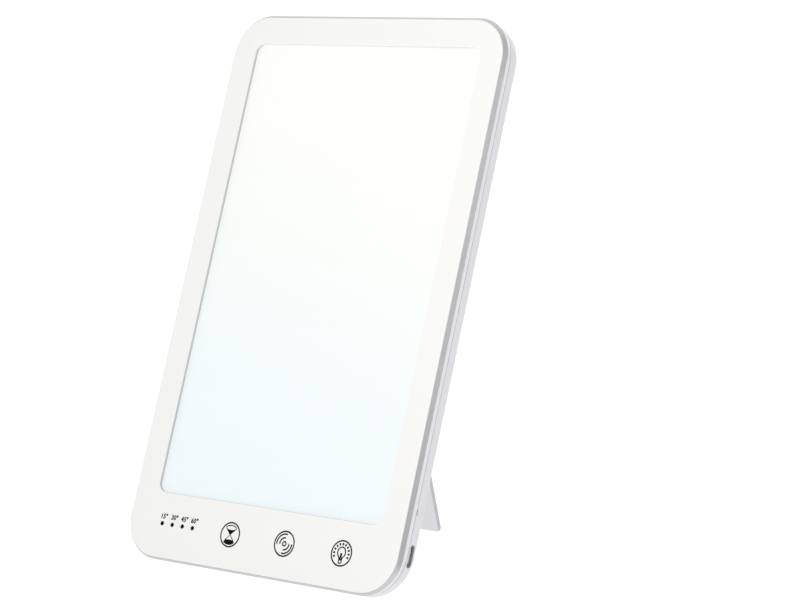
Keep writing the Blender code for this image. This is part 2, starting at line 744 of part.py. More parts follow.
def light_engine():
    slab(
        "diffuser_panel", window_half + DIFFUSER_OVERLAP, window_low - DIFFUSER_OVERLAP,
        window_high + DIFFUSER_OVERLAP, diffuser_front, diffuser_rear, WINDOW_CORNER / 2, OPAL,
        steps=SMALL_STEPS)
    box(
        "light_guide", (-guide_half, guide_front, guide_low), (guide_half, guide_rear, guide_high),
        CLEAR)
    box(
        "reflector_sheet", (-guide_half, reflector_front, guide_low),
        (guide_half, reflector_rear, guide_high), REFLECTIVE)
    tray = box(
        "backing_tray", (-tray_half, guide_front, tray_low), (tray_half, tray_rear, tray_high),
        ALUMINIUM)
    channel = box(
        "tray_channel", (-tray_inner, guide_front - OVERRUN, tray_low - OVERRUN),
        (tray_inner, tray_front, tray_high + OVERRUN))
    cut(tray, channel)
    ear_height = tray_high + TRAY_POST_RISE
    for index, side in enumerate((-1, 1)):
        x = side * ear_x
        ear = box(
            "tray_ear_%d" % (index + 1),
            (x - TRAY_EAR_WIDTH / 2, tray_front, tray_high - OVERRUN),
            (x + TRAY_EAR_WIDTH / 2, tray_rear, ear_height + SMALL_HEAD_RADIUS + GAP))
        hole = cylinder(
            "tray_ear_hole_%d" % (index + 1), SMALL_SHANK_RADIUS + GAP,
            (x, tray_front - OVERRUN, ear_height), (x, tray_rear + OVERRUN, ear_height),
            sides=SMALL_SIDES)
        join(tray, ear)
        cut(tray, hole)


def led_strip(side):
    """A board on edge with a row of light packages facing the guide."""
    side_name = "left" if side < 0 else "right"
    strip = box(
        "led_strip_" + side_name,
        (min(side * strip_face, side * strip_outer), guide_front, guide_low),
        (max(side * strip_face, side * strip_outer), reflector_rear, guide_high), BOARD_WHITE)
    middle = (guide_front + guide_rear) / 2
    pitch = (guide_high - guide_low) / LED_COUNT
    for index in range(LED_COUNT):
        height = guide_low + (index + 0.5) * pitch
        package = box(
            "led_%s_%d" % (side_name, index + 1),
            (min(side * strip_inner, side * (strip_face + LED_HEIGHT / 2)), middle - LED_DEPTH / 2,
             height - LED_LENGTH / 2),
            (max(side * strip_inner, side * (strip_face + LED_HEIGHT / 2)), middle + LED_DEPTH / 2,
             height + LED_LENGTH / 2))
        join(strip, package)


# Boards in the chin, with the parts they carry


def board_outline(name, margin, front, rear):
    """The room inside the middle frame, less a margin, for boards to be trimmed to."""
    return inset_slab(name, frame_inset + margin, front - OVERRUN, rear + OVERRUN)


def boards():
    touch = box(
        "touch_board", (TOUCH_BOARD_INSET_LEFT - half_face, touch_front, touch_low),
        (half_face - TOUCH_BOARD_INSET_RIGHT, touch_rear, touch_high), BOARD_GREEN)
    boolean(touch, board_outline("touch_room", GAP, touch_front, touch_rear), "INTERSECT")
    main = box(
        "main_board", (BOARD_INSET - half_face, board_front, BOARD_BOTTOM),
        (half_body, board_rear, BOARD_TOP), BOARD_GREEN)
    boolean(main, board_outline("board_room", GAP, board_front, board_rear), "INTERSECT")
    for index, (x, z) in enumerate(board_screw_places()):
        hole = cylinder(
            "board_hole_%d" % (index + 1), SMALL_SHANK_RADIUS + GAP, (x, board_front - OVERRUN, z),
            (x, board_rear + OVERRUN, z), sides=SMALL_SIDES)
        cut(main, hole)


def board_screw_places():
    return [(side * board_post_x, height)
            for height in (BOARD_POST_LOW, BOARD_POST_HIGH) for side in (-1, 1)]


def on_board(name, size, x, z, finish):
    """A part that sits on the back of the main board."""
    return box(
        name, (x - size.x / 2, parts_front, z - size.z / 2),
        (x + size.x / 2, parts_front + size.y, z + size.z / 2), finish)


def board_parts():
    middle = (BOARD_BOTTOM + BOARD_TOP) / 2
    on_board("controller_chip", CHIP_SIZE, 0, middle, CHIP_BLACK)
    on_board("flex_socket", FLEX_SOCKET_SIZE, flex_x, flex_socket_height(), SOCKET_BLACK)
    for side, side_name in ((-1, "left"), (1, "right")):
        on_board(
            "led_socket_" + side_name, LED_SOCKET_SIZE, side * led_socket_x, LED_SOCKET_HEIGHT,
            LEAD_WHITE)
        driver_x = side * (CHIP_SIZE.x + DRIVER_CHIP_SIZE.x * 2)
        on_board("driver_chip_" + side_name, DRIVER_CHIP_SIZE, driver_x, middle, CHIP_BLACK)
        coil_x = driver_x + side * (DRIVER_CHIP_SIZE.x + INDUCTOR_DIAMETER) * PART_SPACING_SHARE
        cylinder(
            "inductor_" + side_name, INDUCTOR_DIAMETER / 2, (coil_x, parts_front, middle),
            (coil_x, parts_front + INDUCTOR_HEIGHT, middle), CHIP_BLACK)
        can_x = coil_x + side * (INDUCTOR_DIAMETER + CAPACITOR_DIAMETER) * PART_SPACING_SHARE
        can_z = BOARD_TOP - CAPACITOR_DIAMETER * PART_SPACING_SHARE
        cylinder(
            "capacitor_" + side_name, CAPACITOR_DIAMETER / 2, (can_x, parts_front, can_z),
            (can_x, parts_front + CAPACITOR_HEIGHT, can_z), ALUMINIUM, sides=SMALL_SIDES)


def charging_socket():
    """A stamped metal shell, open to the right, with the contact tongue inside."""
    mouth = half_body - SOCKET_RECESS
    back = mouth - SOCKET_REACH
    half_length = SOCKET_LENGTH / 2
    half_thick = SOCKET_THICKNESS / 2
    middle = Vector((0, socket_depth, SOCKET_HEIGHT))
    shell = rounded_bar("usb_socket_shell", back, mouth, half_thick, half_length, STEEL)
    hollow = rounded_bar(
        "socket_hollow", back + SOCKET_SHEET, mouth + OVERRUN, half_thick - SOCKET_SHEET,
        half_length - SOCKET_SHEET)
    cut(shell, hollow)
    inside = back + SOCKET_SHEET + GAP
    base_half = Vector((0, half_thick - SOCKET_SHEET - GAP, half_length - SOCKET_SHEET - GAP * 2))
    base = box(
        "usb_contact_tongue", Vector((inside, 0, 0)) + middle - base_half,
        Vector((inside + TONGUE_BASE, 0, 0)) + middle + base_half, SOCKET_BLACK)
    tongue_half = Vector((0, TONGUE_THICKNESS / 2, TONGUE_WIDTH / 2))
    tongue = box(
        "tongue_blade", Vector((inside + TONGUE_BASE / 2, 0, 0)) + middle - tongue_half,
        Vector((inside + TONGUE_BASE + TONGUE_REACH, 0, 0)) + middle + tongue_half)
    join(base, tongue)


def along_x(edge):
    """True for an edge that runs across the panel."""
    run = edge.verts[1].co - edge.verts[0].co
    return abs(run.x) > abs(run.y) + abs(run.z)


def rounded_bar(name, start, end, half_thick, half_length, finish=None):
    """A bar along X with a slot-shaped section, at the charging socket's place."""
    shape = bmesh.new()
    bmesh.ops.create_cube(shape, size=1)
    size = Vector((end - start, half_thick * 2, half_length * 2))
    bmesh.ops.scale(shape, vec=size, verts=shape.verts)
    bmesh.ops.bevel(
        shape, geom=[edge for edge in shape.edges if along_x(edge)],
        offset=half_thick * SOCKET_ROUND_SHARE, offset_type="OFFSET", segments=SMALL_STEPS, profile=0.5,
        affect="EDGES")
    made = new_object(name, finish_mesh(name, shape), finish)
    made.location = ((start + end) / 2, socket_depth, SOCKET_HEIGHT)
    return made


# Leads and ribbon


def tube(name, points, radius, finish):
    """A round lead along a smooth curve through its points."""
    curve = bpy.data.curves.new(name, "CURVE")
    curve.dimensions = "3D"
    curve.bevel_depth = radius
    curve.bevel_resolution = 1
    curve.use_fill_caps = True
    smooth = smooth_points(points)
    spline = curve.splines.new("POLY")
    spline.points.add(len(smooth) - 1)
    for point, place in zip(spline.points, smooth):
        point.co = (*place, 1)
    made = bpy.data.objects.new(name, curve)
    curve.materials.append(finish)
    made.parent = lean
    parts.objects.link(made)
    return made


def smooth_points(points, pieces=4):
    """Points read from a Catmull-Rom curve through the given ones."""
    knots = [Vector(point) for point in points]
    knots = [knots[0] * 2 - knots[1]] + knots + [knots[-1] * 2 - knots[-2]]
    result = []
    for a, b, c, d in zip(knots, knots[1:], knots[2:], knots[3:]):
        for step in range(pieces):
            t = step / pieces
            result.append(
                (b * 2 + (c - a) * t + (a * 2 - b * 5 + c * 4 - d) * t ** 2
                 + (b * 3 - a - c * 3 + d) * t ** 3) / 2)
    return result + [knots[-2]]


def led_leads():
    """From the foot of each strip, down beside the board and into its socket."""
    strip_x = (strip_face + strip_outer) / 2
    radius = LEAD_DIAMETER / 2
    exit_depth = tray_front - GAP - radius
    depth = board_rear + GAP + radius
    over_board = BOARD_TOP + GAP + radius
    socket_side = led_socket_x + LED_SOCKET_SIZE.x / 2 + GAP
    drop = over_board - LED_SOCKET_HEIGHT
    slide = strip_x - socket_side
    route = [
        (strip_x, exit_depth, guide_low - GAP), (strip_x, exit_depth, tray_low),
        (strip_x, depth, over_board)]
    route += [(strip_x - slide * across, depth + radius * down, over_board - drop * down)
              for across, down in LEAD_ROUTE_SHARES]
    route.append((socket_side, depth + radius, LED_SOCKET_HEIGHT))
    for side, side_name in ((-1, "left"), (1, "right")):
        tube(
            "led_lead_" + side_name, [(side * x, y, z) for x, y, z in route], radius, LEAD_WHITE)


def flex_socket_height():
    return BOARD_BOTTOM + FLEX_SOCKET_SIZE.z + GAP * 2


def touch_flex():
    """A ribbon from the touch board, round the main board's lower edge, to its socket."""
    front = touch_rear + GAP + FLEX_THICKNESS / 2
    rear = board_rear + GAP + FLEX_THICKNESS / 2
    radius = (rear - front) / 2
    turn_height = BOARD_BOTTOM
    path = [(front, turn_height + FLEX_RUN), (front, turn_height)]
    turn_steps = SMALL_STEPS * 2
    for step in range(1, turn_steps):
        angle = math.pi * step / turn_steps
        path.append((front + radius - radius * math.cos(angle), turn_height - radius * math.sin(angle)))
    path += [(rear, turn_height), (rear, flex_socket_height() - FLEX_SOCKET_SIZE.z / 2 - GAP)]
    shape = bmesh.new()
    lines = []
    for x in (flex_x - FLEX_WIDTH / 2, flex_x + FLEX_WIDTH / 2):
        lines.append([shape.verts.new((x, y, z)) for y, z in path])
    for index in range(len(path) - 1):
        shape.faces.new((lines[0][index], lines[1][index], lines[1][index + 1], lines[0][index + 1]))
    ribbon = new_object("touch_flex", finish_mesh("touch_flex", shape), LEAD_WHITE)
    wall = ribbon.modifiers.new("wall", "SOLIDIFY")
    wall.thickness = FLEX_THICKNESS
    wall.offset = 0


# Screws: each head seats on what it holds, a gap away


def screws():
    case_mesh = screw_mesh(
        "case_screw", CASE_HEAD_RADIUS, CASE_HEAD_HEIGHT, CASE_SHANK_RADIUS, case_seat - case_tip)
    for index, (x, z) in enumerate(screw_places):
        screw("case_screw_%d" % (index + 1), case_mesh, x, case_seat, z)
    board_seat = board_rear + GAP
    board_mesh = screw_mesh(
        "board_screw", SMALL_HEAD_RADIUS, SMALL_HEAD_HEIGHT, SMALL_SHANK_RADIUS,
        board_seat - FACE_THICKNESS - GAP)
    for index, (x, z) in enumerate(board_screw_places()):
        screw("board_screw_%d" % (index + 1), board_mesh, x, board_seat, z)
    tray_seat = tray_rear + GAP
    tray_mesh = screw_mesh(
        "tray_screw", SMALL_HEAD_RADIUS, SMALL_HEAD_HEIGHT, SMALL_SHANK_RADIUS,
        tray_seat - FACE_THICKNESS - GAP)
    for index, side in enumerate((-1, 1)):
        screw(
            "tray_screw_%d" % (index + 1), tray_mesh, side * ear_x, tray_seat,
            tray_high + TRAY_POST_RISE)


# Stand: leg, its pins, washers and rubber


def leg():
    """Modelled folded, hanging from the hinge, and turned open by its parent."""
    rear = BARREL_RADIUS
    front = rear - LEG_THICKNESS
    plate = slab(
        "kickstand_leg", LEG_WIDTH / 2, -leg_reach + LEG_PAD_PROUD, LEG_HEEL, front, rear, LEG_CORNER,
        PALE_SHELL, parent=hinge, steps=SMALL_STEPS, front_round=LEG_EDGE_ROUND,
        rear_round=LEG_EDGE_ROUND, round_steps=1)
    barrel = cylinder(
        "leg_barrel", BARREL_RADIUS - TANGENT_RELIEF, (-barrel_half, 0, 0), (barrel_half, 0, 0),
        parent=hinge)
    join(plate, barrel)
    for side, side_name in ((-1, "left"), (1, "right")):
        reach = side * (LEG_WIDTH / 2 + OVERRUN)
        end_cut = box(
            "barrel_end_" + side_name,
            (min(side * barrel_half, reach), front - OVERRUN, -BARREL_RADIUS - GAP),
            (max(side * barrel_half, reach), rear + OVERRUN, LEG_HEEL + OVERRUN), parent=hinge)
        bore = cylinder(
            "leg_bore_" + side_name, PIN_RADIUS + PIN_PLAY, (side * (barrel_half + OVERRUN), 0, 0),
            (side * (LEG_WIDTH / 2 - PIN_IN_LEG - GAP), 0, 0), parent=hinge)
        cut(plate, end_cut, bore)
    seat = leg_pad_block(
        "leg_pad_seat", LEG_PAD_WIDTH + GAP * 2, LEG_PAD_BREADTH + GAP, LEG_PAD_HEIGHT + GAP)
    cut(plate, seat)
    leg_pad_block("leg_pad", LEG_PAD_WIDTH, LEG_PAD_BREADTH, LEG_PAD_HEIGHT, RUBBER)


def on_hinge_axis(name, radius, start, end, finish=None):
    """A round piece on the hinge's axis, that stays with the panel."""
    return cylinder(
        name, radius, (start, hinge_depth, HINGE_HEIGHT), (end, hinge_depth, HINGE_HEIGHT), finish)


def hinge_hardware():
    """A pin and a washer at each end of the leg's barrel."""
    for side, side_name in ((-1, "left"), (1, "right")):
        washer_start = side * (barrel_half + GAP)
        washer = on_hinge_axis(
            "hinge_washer_" + side_name, BARREL_RADIUS - GAP, washer_start,
            washer_start + side * WASHER_THICKNESS, NYLON)
        washer_bore = on_hinge_axis(
            "washer_bore_" + side_name, PIN_RADIUS + PIN_PLAY, side * barrel_half,
            side * (lug_face + OVERRUN))
        cut(washer, washer_bore)
        on_hinge_axis(
            "hinge_pin_" + side_name, PIN_RADIUS, side * (LEG_WIDTH / 2 - PIN_IN_LEG),
            side * (lug_face + PIN_IN_LUG), STEEL)


def leg_pad_block(name, width, breadth, height, finish=None):
    """A strip in the leg's end whose underside is level with the table in the opened pose."""
    made = box(
        name, (-width / 2, -breadth / 2, 0), (width / 2, breadth / 2, height), finish, parent=hinge)
    pivot = Matrix.Translation((0, plate_middle, -leg_reach))
    turn = Matrix.Rotation(LEAN - OPEN_ANGLE, 4, "X")
    made.matrix_local = pivot @ turn @ Matrix.Translation(made.location)
    return made


front_bezel()
timer_lenses()
edge_trim()
middle_frame()
rear_shell()
foot_pads()
light_engine()
led_strip(-1)
led_strip(1)
boards()
board_parts()
charging_socket()
led_leads()
touch_flex()
screws()
leg()
hinge_hardware()

print("lean in degrees: %.3f" % math.degrees(LEAN))
print("body depth: %.5f" % body_depth)
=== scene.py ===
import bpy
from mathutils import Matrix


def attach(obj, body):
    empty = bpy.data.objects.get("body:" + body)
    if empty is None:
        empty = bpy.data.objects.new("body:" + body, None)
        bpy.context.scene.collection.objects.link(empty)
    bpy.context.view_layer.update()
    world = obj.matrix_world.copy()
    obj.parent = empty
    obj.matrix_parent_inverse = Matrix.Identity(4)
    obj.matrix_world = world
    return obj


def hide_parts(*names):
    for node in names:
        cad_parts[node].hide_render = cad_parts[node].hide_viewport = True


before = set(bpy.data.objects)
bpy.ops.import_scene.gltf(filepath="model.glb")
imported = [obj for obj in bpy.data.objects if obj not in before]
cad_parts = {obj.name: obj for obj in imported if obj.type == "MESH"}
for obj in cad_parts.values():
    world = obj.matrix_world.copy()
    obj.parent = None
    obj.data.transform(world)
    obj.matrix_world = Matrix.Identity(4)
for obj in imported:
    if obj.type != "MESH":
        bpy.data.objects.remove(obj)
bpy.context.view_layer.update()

import math

import bmesh
import bpy
from mathutils import Matrix, Vector

# Sizes, in metres. The panel is modelled upright: X across, Y from its face to its back, Z up from the
# face's lower edge. A finished piece is then leaned back to where the lamp stands. GAP is the play
# between pieces, SHUT_LINE that round the face, OVERRUN how far a cutter runs past what it cuts, and
# NEAR how closely a place is met.

LEAN = 0.433389
PANEL_PLACE = Vector((0, -0.0577545, 0.0052313))
OPEN_ANGLE = math.radians(36)
GAP = 0.0003
SHUT_LINE = 0.00003
OVERRUN = 0.002
NEAR = 0.00001

# Face plate and window
FACE_HALF = 0.075
FACE_HEIGHT = 0.250
FACE_CORNER = 0.0175
FACE_THICKNESS = 0.0015
FACE_EDGE_ROUND = 0.00035
VISIBLE_HALF = 0.0749
VISIBLE_LOW = -0.00045
VISIBLE_HIGH = FACE_HEIGHT + 0.00012
VISIBLE_SHIFT = Matrix.Translation((-0.0001, 0, 0))
WINDOW_LEFT = -0.0624
WINDOW_RIGHT = 0.0633
WINDOW_LOW = 0.0285
WINDOW_HIGH = 0.2376
WINDOW_CORNER = 0.0045
WINDOW_EDGE_ROUND = 0.00025
BEZEL_RIM = 0.0008
BEZEL_LAP = GAP * 1.5
RIM_INSET = 0.0023

# Trim ring and light band
BODY_FLARE = 0.001
BODY_HALF = FACE_HALF + BODY_FLARE
BODY_CORNER = FACE_CORNER + BODY_FLARE
TRIM_CORNER = BODY_CORNER - 0.0003
SHELL_CORNER = BODY_CORNER + 0.0005
TRIM_PROUD = 0.0004
TRIM_DEPTH = 0.0018
TRIM_LAND = 0.0001
TRIM_FRONT = 0.00005
TRIM_FLANGE = 0.002
BAND_FRONT = 0.0019
SEAM_DEPTH = 0.0048
BAND_EDGE_ROUND = 0.00018
BAND_WALL = 0.0018
LIP_HEIGHT = 0.0015
FRAME_INSET = 0.0033
FRAME_INNER = BODY_HALF - FRAME_INSET

# Back shell, and the nick in its seam
SHELL_FRONT = 0.0051
SHELL_LIP_ROUND = 0.00015
SEAM_GROOVE = 0.0012
BODY_DEPTH = 0.0130045
SHELL_FLOOR = BODY_DEPTH - 0.0018
SHELL_EDGE_RADIUS = 0.005
SHELL_INNER_RADIUS = 0.0032
WELD_DEPTH = SHELL_FLOOR + 0.0009
NICK_HEIGHT = 0.0368
NICK_LENGTH = 0.0024
NICK_DEPTH = 0.0013
NICK_WIDTH = 0.0008

# Hinge, pocket and finger scoop
HINGE_DEPTH = 0.0110045
HINGE_HEIGHT = 0.1532
STOP_DEPTH = 0.0085
HINGE_WALL = 0.0009
BARREL_RADIUS = 0.002
BARREL_ROOM = BARREL_RADIUS + GAP
BARREL_HALF = 0.0241
POCKET_WALL = 0.0012
POCKET_HALF = 0.0255
POCKET_LOW = 0.0099
POCKET_TOP = HINGE_HEIGHT + 0.0042736
POCKET_FLOOR = 0.0103045
LUG_FACE = 0.0253
LUG_OUTER = LUG_FACE + 0.0085
PIN_RADIUS = 0.001
PIN_PLAY = 0.0001
PIN_IN_LEG = 0.008
PIN_IN_LUG = 0.006
SCOOP_RADIUS = 0.010
SCOOP_FLOOR = BODY_DEPTH - 0.0042
SCOOP_HEIGHT = POCKET_LOW + 0.0054

# Stand and rubber pads
LEG_HALF = 0.025
LEG_REACH = 0.1425
LEG_THICKNESS = 0.0024
LEG_HEEL = 0.0032
LEG_CORNER = 0.0022
LEG_END_EXTRA = 0.0004
LEG_END_ROOM = 0.00012
LEG_EDGE_ROUND = 0.0005
LEG_PAD = Vector((0.036, 0.0012, 0.0016))
FOOT_PAD = Vector((0.018, 0.0016, 0.0012))
FOOT_PAD_BACK = 0.0018
FOOT_PAD_X = 0.050
PAD_PROUD = 0.0005
PAD_EDGE_ROUND = 0.0002
EDGE_DEPTH = BODY_DEPTH - SHELL_EDGE_RADIUS
EDGE_HEIGHT = SHELL_EDGE_RADIUS - BODY_FLARE
EDGE_DROP = SHELL_EDGE_RADIUS + PAD_PROUD

# Opal sheet, and what holds the tray, the board and the face
DIFFUSER_FRONT = 0.0017
DIFFUSER_REAR = 0.0033
DIFFUSER_HALF = 0.0658
DIFFUSER_LOW = 0.0258
DIFFUSER_HIGH = 0.2405
DIFFUSER_EDGE_ROUND = 0.0001
TRAY_FRONT = 0.0065
TRAY_REAR = 0.0073
TRAY_HALF = 0.0676
TRAY_LOW = 0.026
TRAY_HIGH = 0.2403
EAR_X = 0.040
EAR_HEIGHT = TRAY_HIGH + 0.0031
RIB_X = TRAY_HALF * 0.72
RIB_LENGTH = 0.040
BOARD_FRONT = 0.00427
BOARD_POSTS = [(side * 0.063, height) for height in (0.0076, 0.0202) for side in (-1, 1)]
POST_BORE = 0.001
POST_WALL = 0.001
HOOK_X = 0.020
HOOK_SHARES = (0.24, 0.40, 0.66, 0.82)

# Case screws
SCREW_X = 0.0704
SCREW_HEIGHTS = (0.034, 0.128, 0.232)
SCREW_PLACES = [(side * SCREW_X, height) for height in SCREW_HEIGHTS for side in (-1, 1)]
CASE_SEAT = BODY_DEPTH - 0.0018
CASE_TIP = 0.004
BOSS_FLOOR = CASE_SEAT - GAP
BOSS_FRONT = BOSS_FLOOR - 0.0012
COLUMN_REAR = BOSS_FRONT - GAP
HEAD_RADIUS = 0.0021
HEAD_HEIGHT = 0.0012
SHANK_RADIUS = 0.0011
SHANK_ROOM = SHANK_RADIUS + GAP
HEAD_ROOM = HEAD_RADIUS + GAP
WALL = 0.0012

# Charging socket
SOCKET_DEPTH = 0.00732
SOCKET_HEIGHT = 0.0184
SOCKET_LENGTH = 0.00894
SOCKET_THICKNESS = 0.0031
SOCKET_MOUTH = BODY_HALF - 0.0003
SOCKET_ROOM = 0.0001
SOCKET_END_ROOM = 0.0004
SOCKET_REACH = 0.0073
SOCKET_SHEET = 0.0002
SOCKET_EDGE_ROUND = 0.0001
SLOT_ROUND = 0.96
SLOT_STEPS = 10

# Prints and timer lenses
KEY_HEIGHT = 0.01455
KEY_RING_RADIUS = 0.00523
KEY_TALLER = 1.02
HOURGLASS_X = -0.0161
COLOUR_KEY_X = 0.01442
BULB_KEY_X = 0.04556
TIMER_PLACES = [-0.05584 + index * 0.00593 for index in range(4)]
LENS_RADIUS = 0.00088
LENS_PLAY = 0.00015
LENS_HEIGHT = 0.0146
LENS_DOME = 0.0002
LINE_WIDTH = 0.00068
GLASS_LINE = 0.00045
GLASS_NECK_LINE = 0.00038
BULB_LINE = 0.0006
FILAMENT_LINE = 0.00058
CAP_LINE = 0.00056
RAY_LINE = 0.00084
HUB_LINE = 0.00062
INK_HEIGHT = 0.00004
NUMBER_HEIGHT = 0.01685
NUMBER_SIZE = 0.00295
NUMBER_SLANT = 0.12
NUMBER_SPACING = 1.06
NUMBER_WEIGHT = 0.00011
NUMBER_NARROWER = 0.93

# How finely things are rounded, and from which angle an edge stays sharp
CORNER_STEPS = 24
ROUND_SIDES = 48
SHARP_ANGLE = math.radians(35)

# Camera, from the camera solve
CAMERA_SPOT = Vector((0.71674, -0.86885, 0.33033))
CAMERA_RIGHT = Vector((0.7959, 0.60302, -0.05396))
CAMERA_UP = Vector((-0.07305, 0.18411, 0.98019))
CAMERA_LENS = 117.74
SENSOR_WIDTH = 36

# Where the panel and the open stand go
leaned = Matrix.Translation(PANEL_PLACE) @ Matrix.Rotation(-LEAN, 4, "X")
hinged = leaned @ Matrix.Translation((0, HINGE_DEPTH, HINGE_HEIGHT)) @ Matrix.Rotation(OPEN_ANGLE, 4, "X")


# Modelling by hand: a primitive, then edit mode

def alone(piece):
    """Makes a piece the only one selected, and the active one."""
    bpy.ops.object.select_all(action="DESELECT")
    piece.select_set(True)
    bpy.context.view_layer.objects.active = piece


def named(name):
    piece = bpy.context.object
    piece.name = name
    piece.data.name = name
    bpy.ops.object.transform_apply(location=True, rotation=True, scale=True)
    return piece


def block(name, low, high):
    """A box between two corners."""
    bpy.ops.object.select_all(action="DESELECT")
    low, high = Vector(low), Vector(high)
    bpy.ops.mesh.primitive_cube_add(size=1, location=(low + high) / 2, scale=high - low)
    return named(name)


def bar(name, radius, start, end, sides=ROUND_SIDES):
    """A round bar between two points that differ along one axis."""
    bpy.ops.object.select_all(action="DESELECT")
    start, end = Vector(start), Vector(end)
    turn = (end - start).to_track_quat("Z", "Y").to_euler()
    bpy.ops.mesh.primitive_cylinder_add(
        vertices=sides, radius=radius, depth=(end - start).length, location=(start + end) / 2,
        rotation=turn)
    return named(name)


def edit(piece):
    alone(piece)
    bpy.ops.object.mode_set(mode="EDIT")
    bpy.ops.mesh.select_all(action="DESELECT")


def leave():
    bpy.ops.object.mode_set(mode="OBJECT")


def pick(kind, test):
    """In edit mode, selects the EDGEs or FACEs that pass a test, and nothing else."""
    bpy.ops.mesh.select_mode(type=kind)
    bpy.ops.mesh.select_all(action="DESELECT")
    mesh = bpy.context.object.data
    shape = bmesh.from_edit_mesh(mesh)
    for part in {"EDGE": shape.edges, "FACE": shape.faces}[kind]:
        if test(part):
            part.select_set(True)
    bmesh.update_edit_mesh(mesh)


def runs_along(axis):
    """Edges that run along an axis."""
    index = "xyz".index(axis)

    def test(edge):
        run = edge.verts[1].co - edge.verts[0].co
        return abs(run[index]) > 0.999 * run.length
    return test


def faces_to(axis, sign):
    """Faces that look along an axis."""
    index = "xyz".index(axis)
    return lambda face: face.normal[index] * sign > 0.99


def rim_at(axis, place, where=None):
    """Edges round the flat faces at one place on an axis, where another test on their middle agrees."""
    index = "xyz".index(axis)

    def test(edge):
        if any(abs(vert.co[index] - place) > NEAR for vert in edge.verts):
            return False
        if where and not where((edge.verts[0].co + edge.verts[1].co) / 2):
            return False
        return sum(abs(face.normal[index]) > 0.99 for face in edge.link_faces) == 1
    return test


def round_off(piece, test, width, steps):
    """Rounds the edges that pass a test."""
    edit(piece)
    pick("EDGE", test)
    bpy.ops.mesh.bevel(offset=width, offset_type="OFFSET", segments=steps, affect="EDGES")
    leave()


def plate(name, half, low, high, front, rear, corner, steps=CORNER_STEPS):
    """A flat plate with rounded corners."""
    piece = block(name, (-half, front, low), (half, rear, high))
    round_off(piece, runs_along("y"), corner, steps)
    return piece


def inset_plate(name, inset, front, rear, corner=SHELL_CORNER):
    """A plate that follows the body's outline at a distance inside it."""
    return plate(
        name, BODY_HALF - inset, inset - BODY_FLARE, FACE_HEIGHT + BODY_FLARE - inset, front, rear,
        corner - inset)


def combine(piece, tools, operation):
    for tool in tools:
        alone(piece)
        change = piece.modifiers.new(tool.name, "BOOLEAN")
        change.operation = operation
        change.solver = "EXACT"
        change.object = tool
        bpy.ops.object.modifier_apply(modifier=change.name)
        bpy.data.objects.remove(tool, do_unlink=True)


def carve(piece, *tools):
    combine(piece, tools, "DIFFERENCE")


def weld(piece, *tools):
    combine(piece, tools, "UNION")


def copy_of(piece, name):
    """A copy with its own mesh."""
    alone(piece)
    bpy.ops.object.duplicate(linked=False)
    made = bpy.context.object
    made.name = name
    made.data.name = name
    return made


def place(piece, where):
    """Moves a mesh to where the lamp stands. Its object stays at the origin."""
    piece.matrix_world = where @ piece.matrix_world
    alone(piece)
    bpy.ops.object.transform_apply(location=True, rotation=True, scale=True)


def fit(piece, finish, slot, *stands_for, body="panel", where=leaned, second=None, second_test=None):
    """Finishes a piece: its place, shading, materials, body and the CAD nodes that it stands for."""
    piece.data.materials.clear()
    piece.data.materials.append(finish)
    if second:
        piece.data.materials.append(second)
        for face in piece.data.polygons:
            face.material_index = int(second_test(face))
    place(piece, where)
    alone(piece)
    bpy.ops.object.shade_smooth_by_angle(angle=SHARP_ANGLE)
    even = piece.modifiers.new("even_shading", "WEIGHTED_NORMAL")
    even.keep_sharp = True
    bpy.ops.object.modifier_apply(modifier=even.name)
    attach(piece, body)
    if stands_for:
        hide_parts(*stands_for)


# Finishes. Shared effects are node groups that put out colours, masks, values and normals

def give(tree, socket, value):
    """Links another node's output to a socket, or sets the socket's own value."""
    if isinstance(value, bpy.types.NodeSocket):
        tree.links.new(value, socket)
    else:
        socket.default_value = value


def add_node(tree, kind, settings=None, **sockets):
    """A node with its settings and what its inputs are given. A socket's spaces are written as _."""
    made = tree.nodes.new(kind)
    for key, value in (settings or {}).items():
        setattr(made, key, value)
    for key, value in sockets.items():
        give(tree, made.inputs[key.replace("_", " ")], value)
    return made


def new_group(name, inputs, outputs):
    """An empty shader group, with its named sockets."""
    tree = bpy.data.node_groups.new(name, "ShaderNodeTree")
    for key, (kind, value) in inputs.items():
        socket = tree.interface.new_socket(key, in_out="INPUT", socket_type="NodeSocket" + kind)
        socket.default_value = value
    for key, kind in outputs.items():
        tree.interface.new_socket(key, in_out="OUTPUT", socket_type="NodeSocket" + kind)
    return tree, tree.nodes.new("NodeGroupInput"), tree.nodes.new("NodeGroupOutput")


def maths(tree, operation, first, second):
    """A Math node's output. Each input is an output of another node or a number."""
    made = add_node(tree, "ShaderNodeMath", {"operation": operation})
    for socket, value in zip(made.inputs, (first, second)):
        give(tree, socket, value)
    return made.outputs[0]


def scaled(tree, colour, factor):
    """A colour made lighter or darker by a number."""
    return add_node(
        tree, "ShaderNodeVectorMath", {"operation": "SCALE"}, Vector=colour, Scale=factor).outputs[0]


def blended(tree, mask, first, second):
    """A node's colour where the mask is 0, and a plain colour where it is 1."""
    blend = add_node(tree, "ShaderNodeMix", {"data_type": "RGBA"})
    for index, value in ((0, mask), (6, first), (7, (*second, 1))):
        give(tree, blend.inputs[index], value)
    return blend.outputs[2]


def cosine(tree, first, second):
    """The cosine of the angle between two directions."""
    same = add_node(tree, "ShaderNodeVectorMath", {"operation": "DOT_PRODUCT"}, Vector=first)
    give(tree, same.inputs[1], second)
    return same.outputs["Value"]


def facing(tree, vector, towards, start, full):
    """How far a vector looks one way: 0 up to one cosine, and 1 from another."""
    same = cosine(tree, vector, towards)
    return add_node(
        tree, "ShaderNodeMapRange", Value=same, From_Min=start, From_Max=full).outputs["Result"]


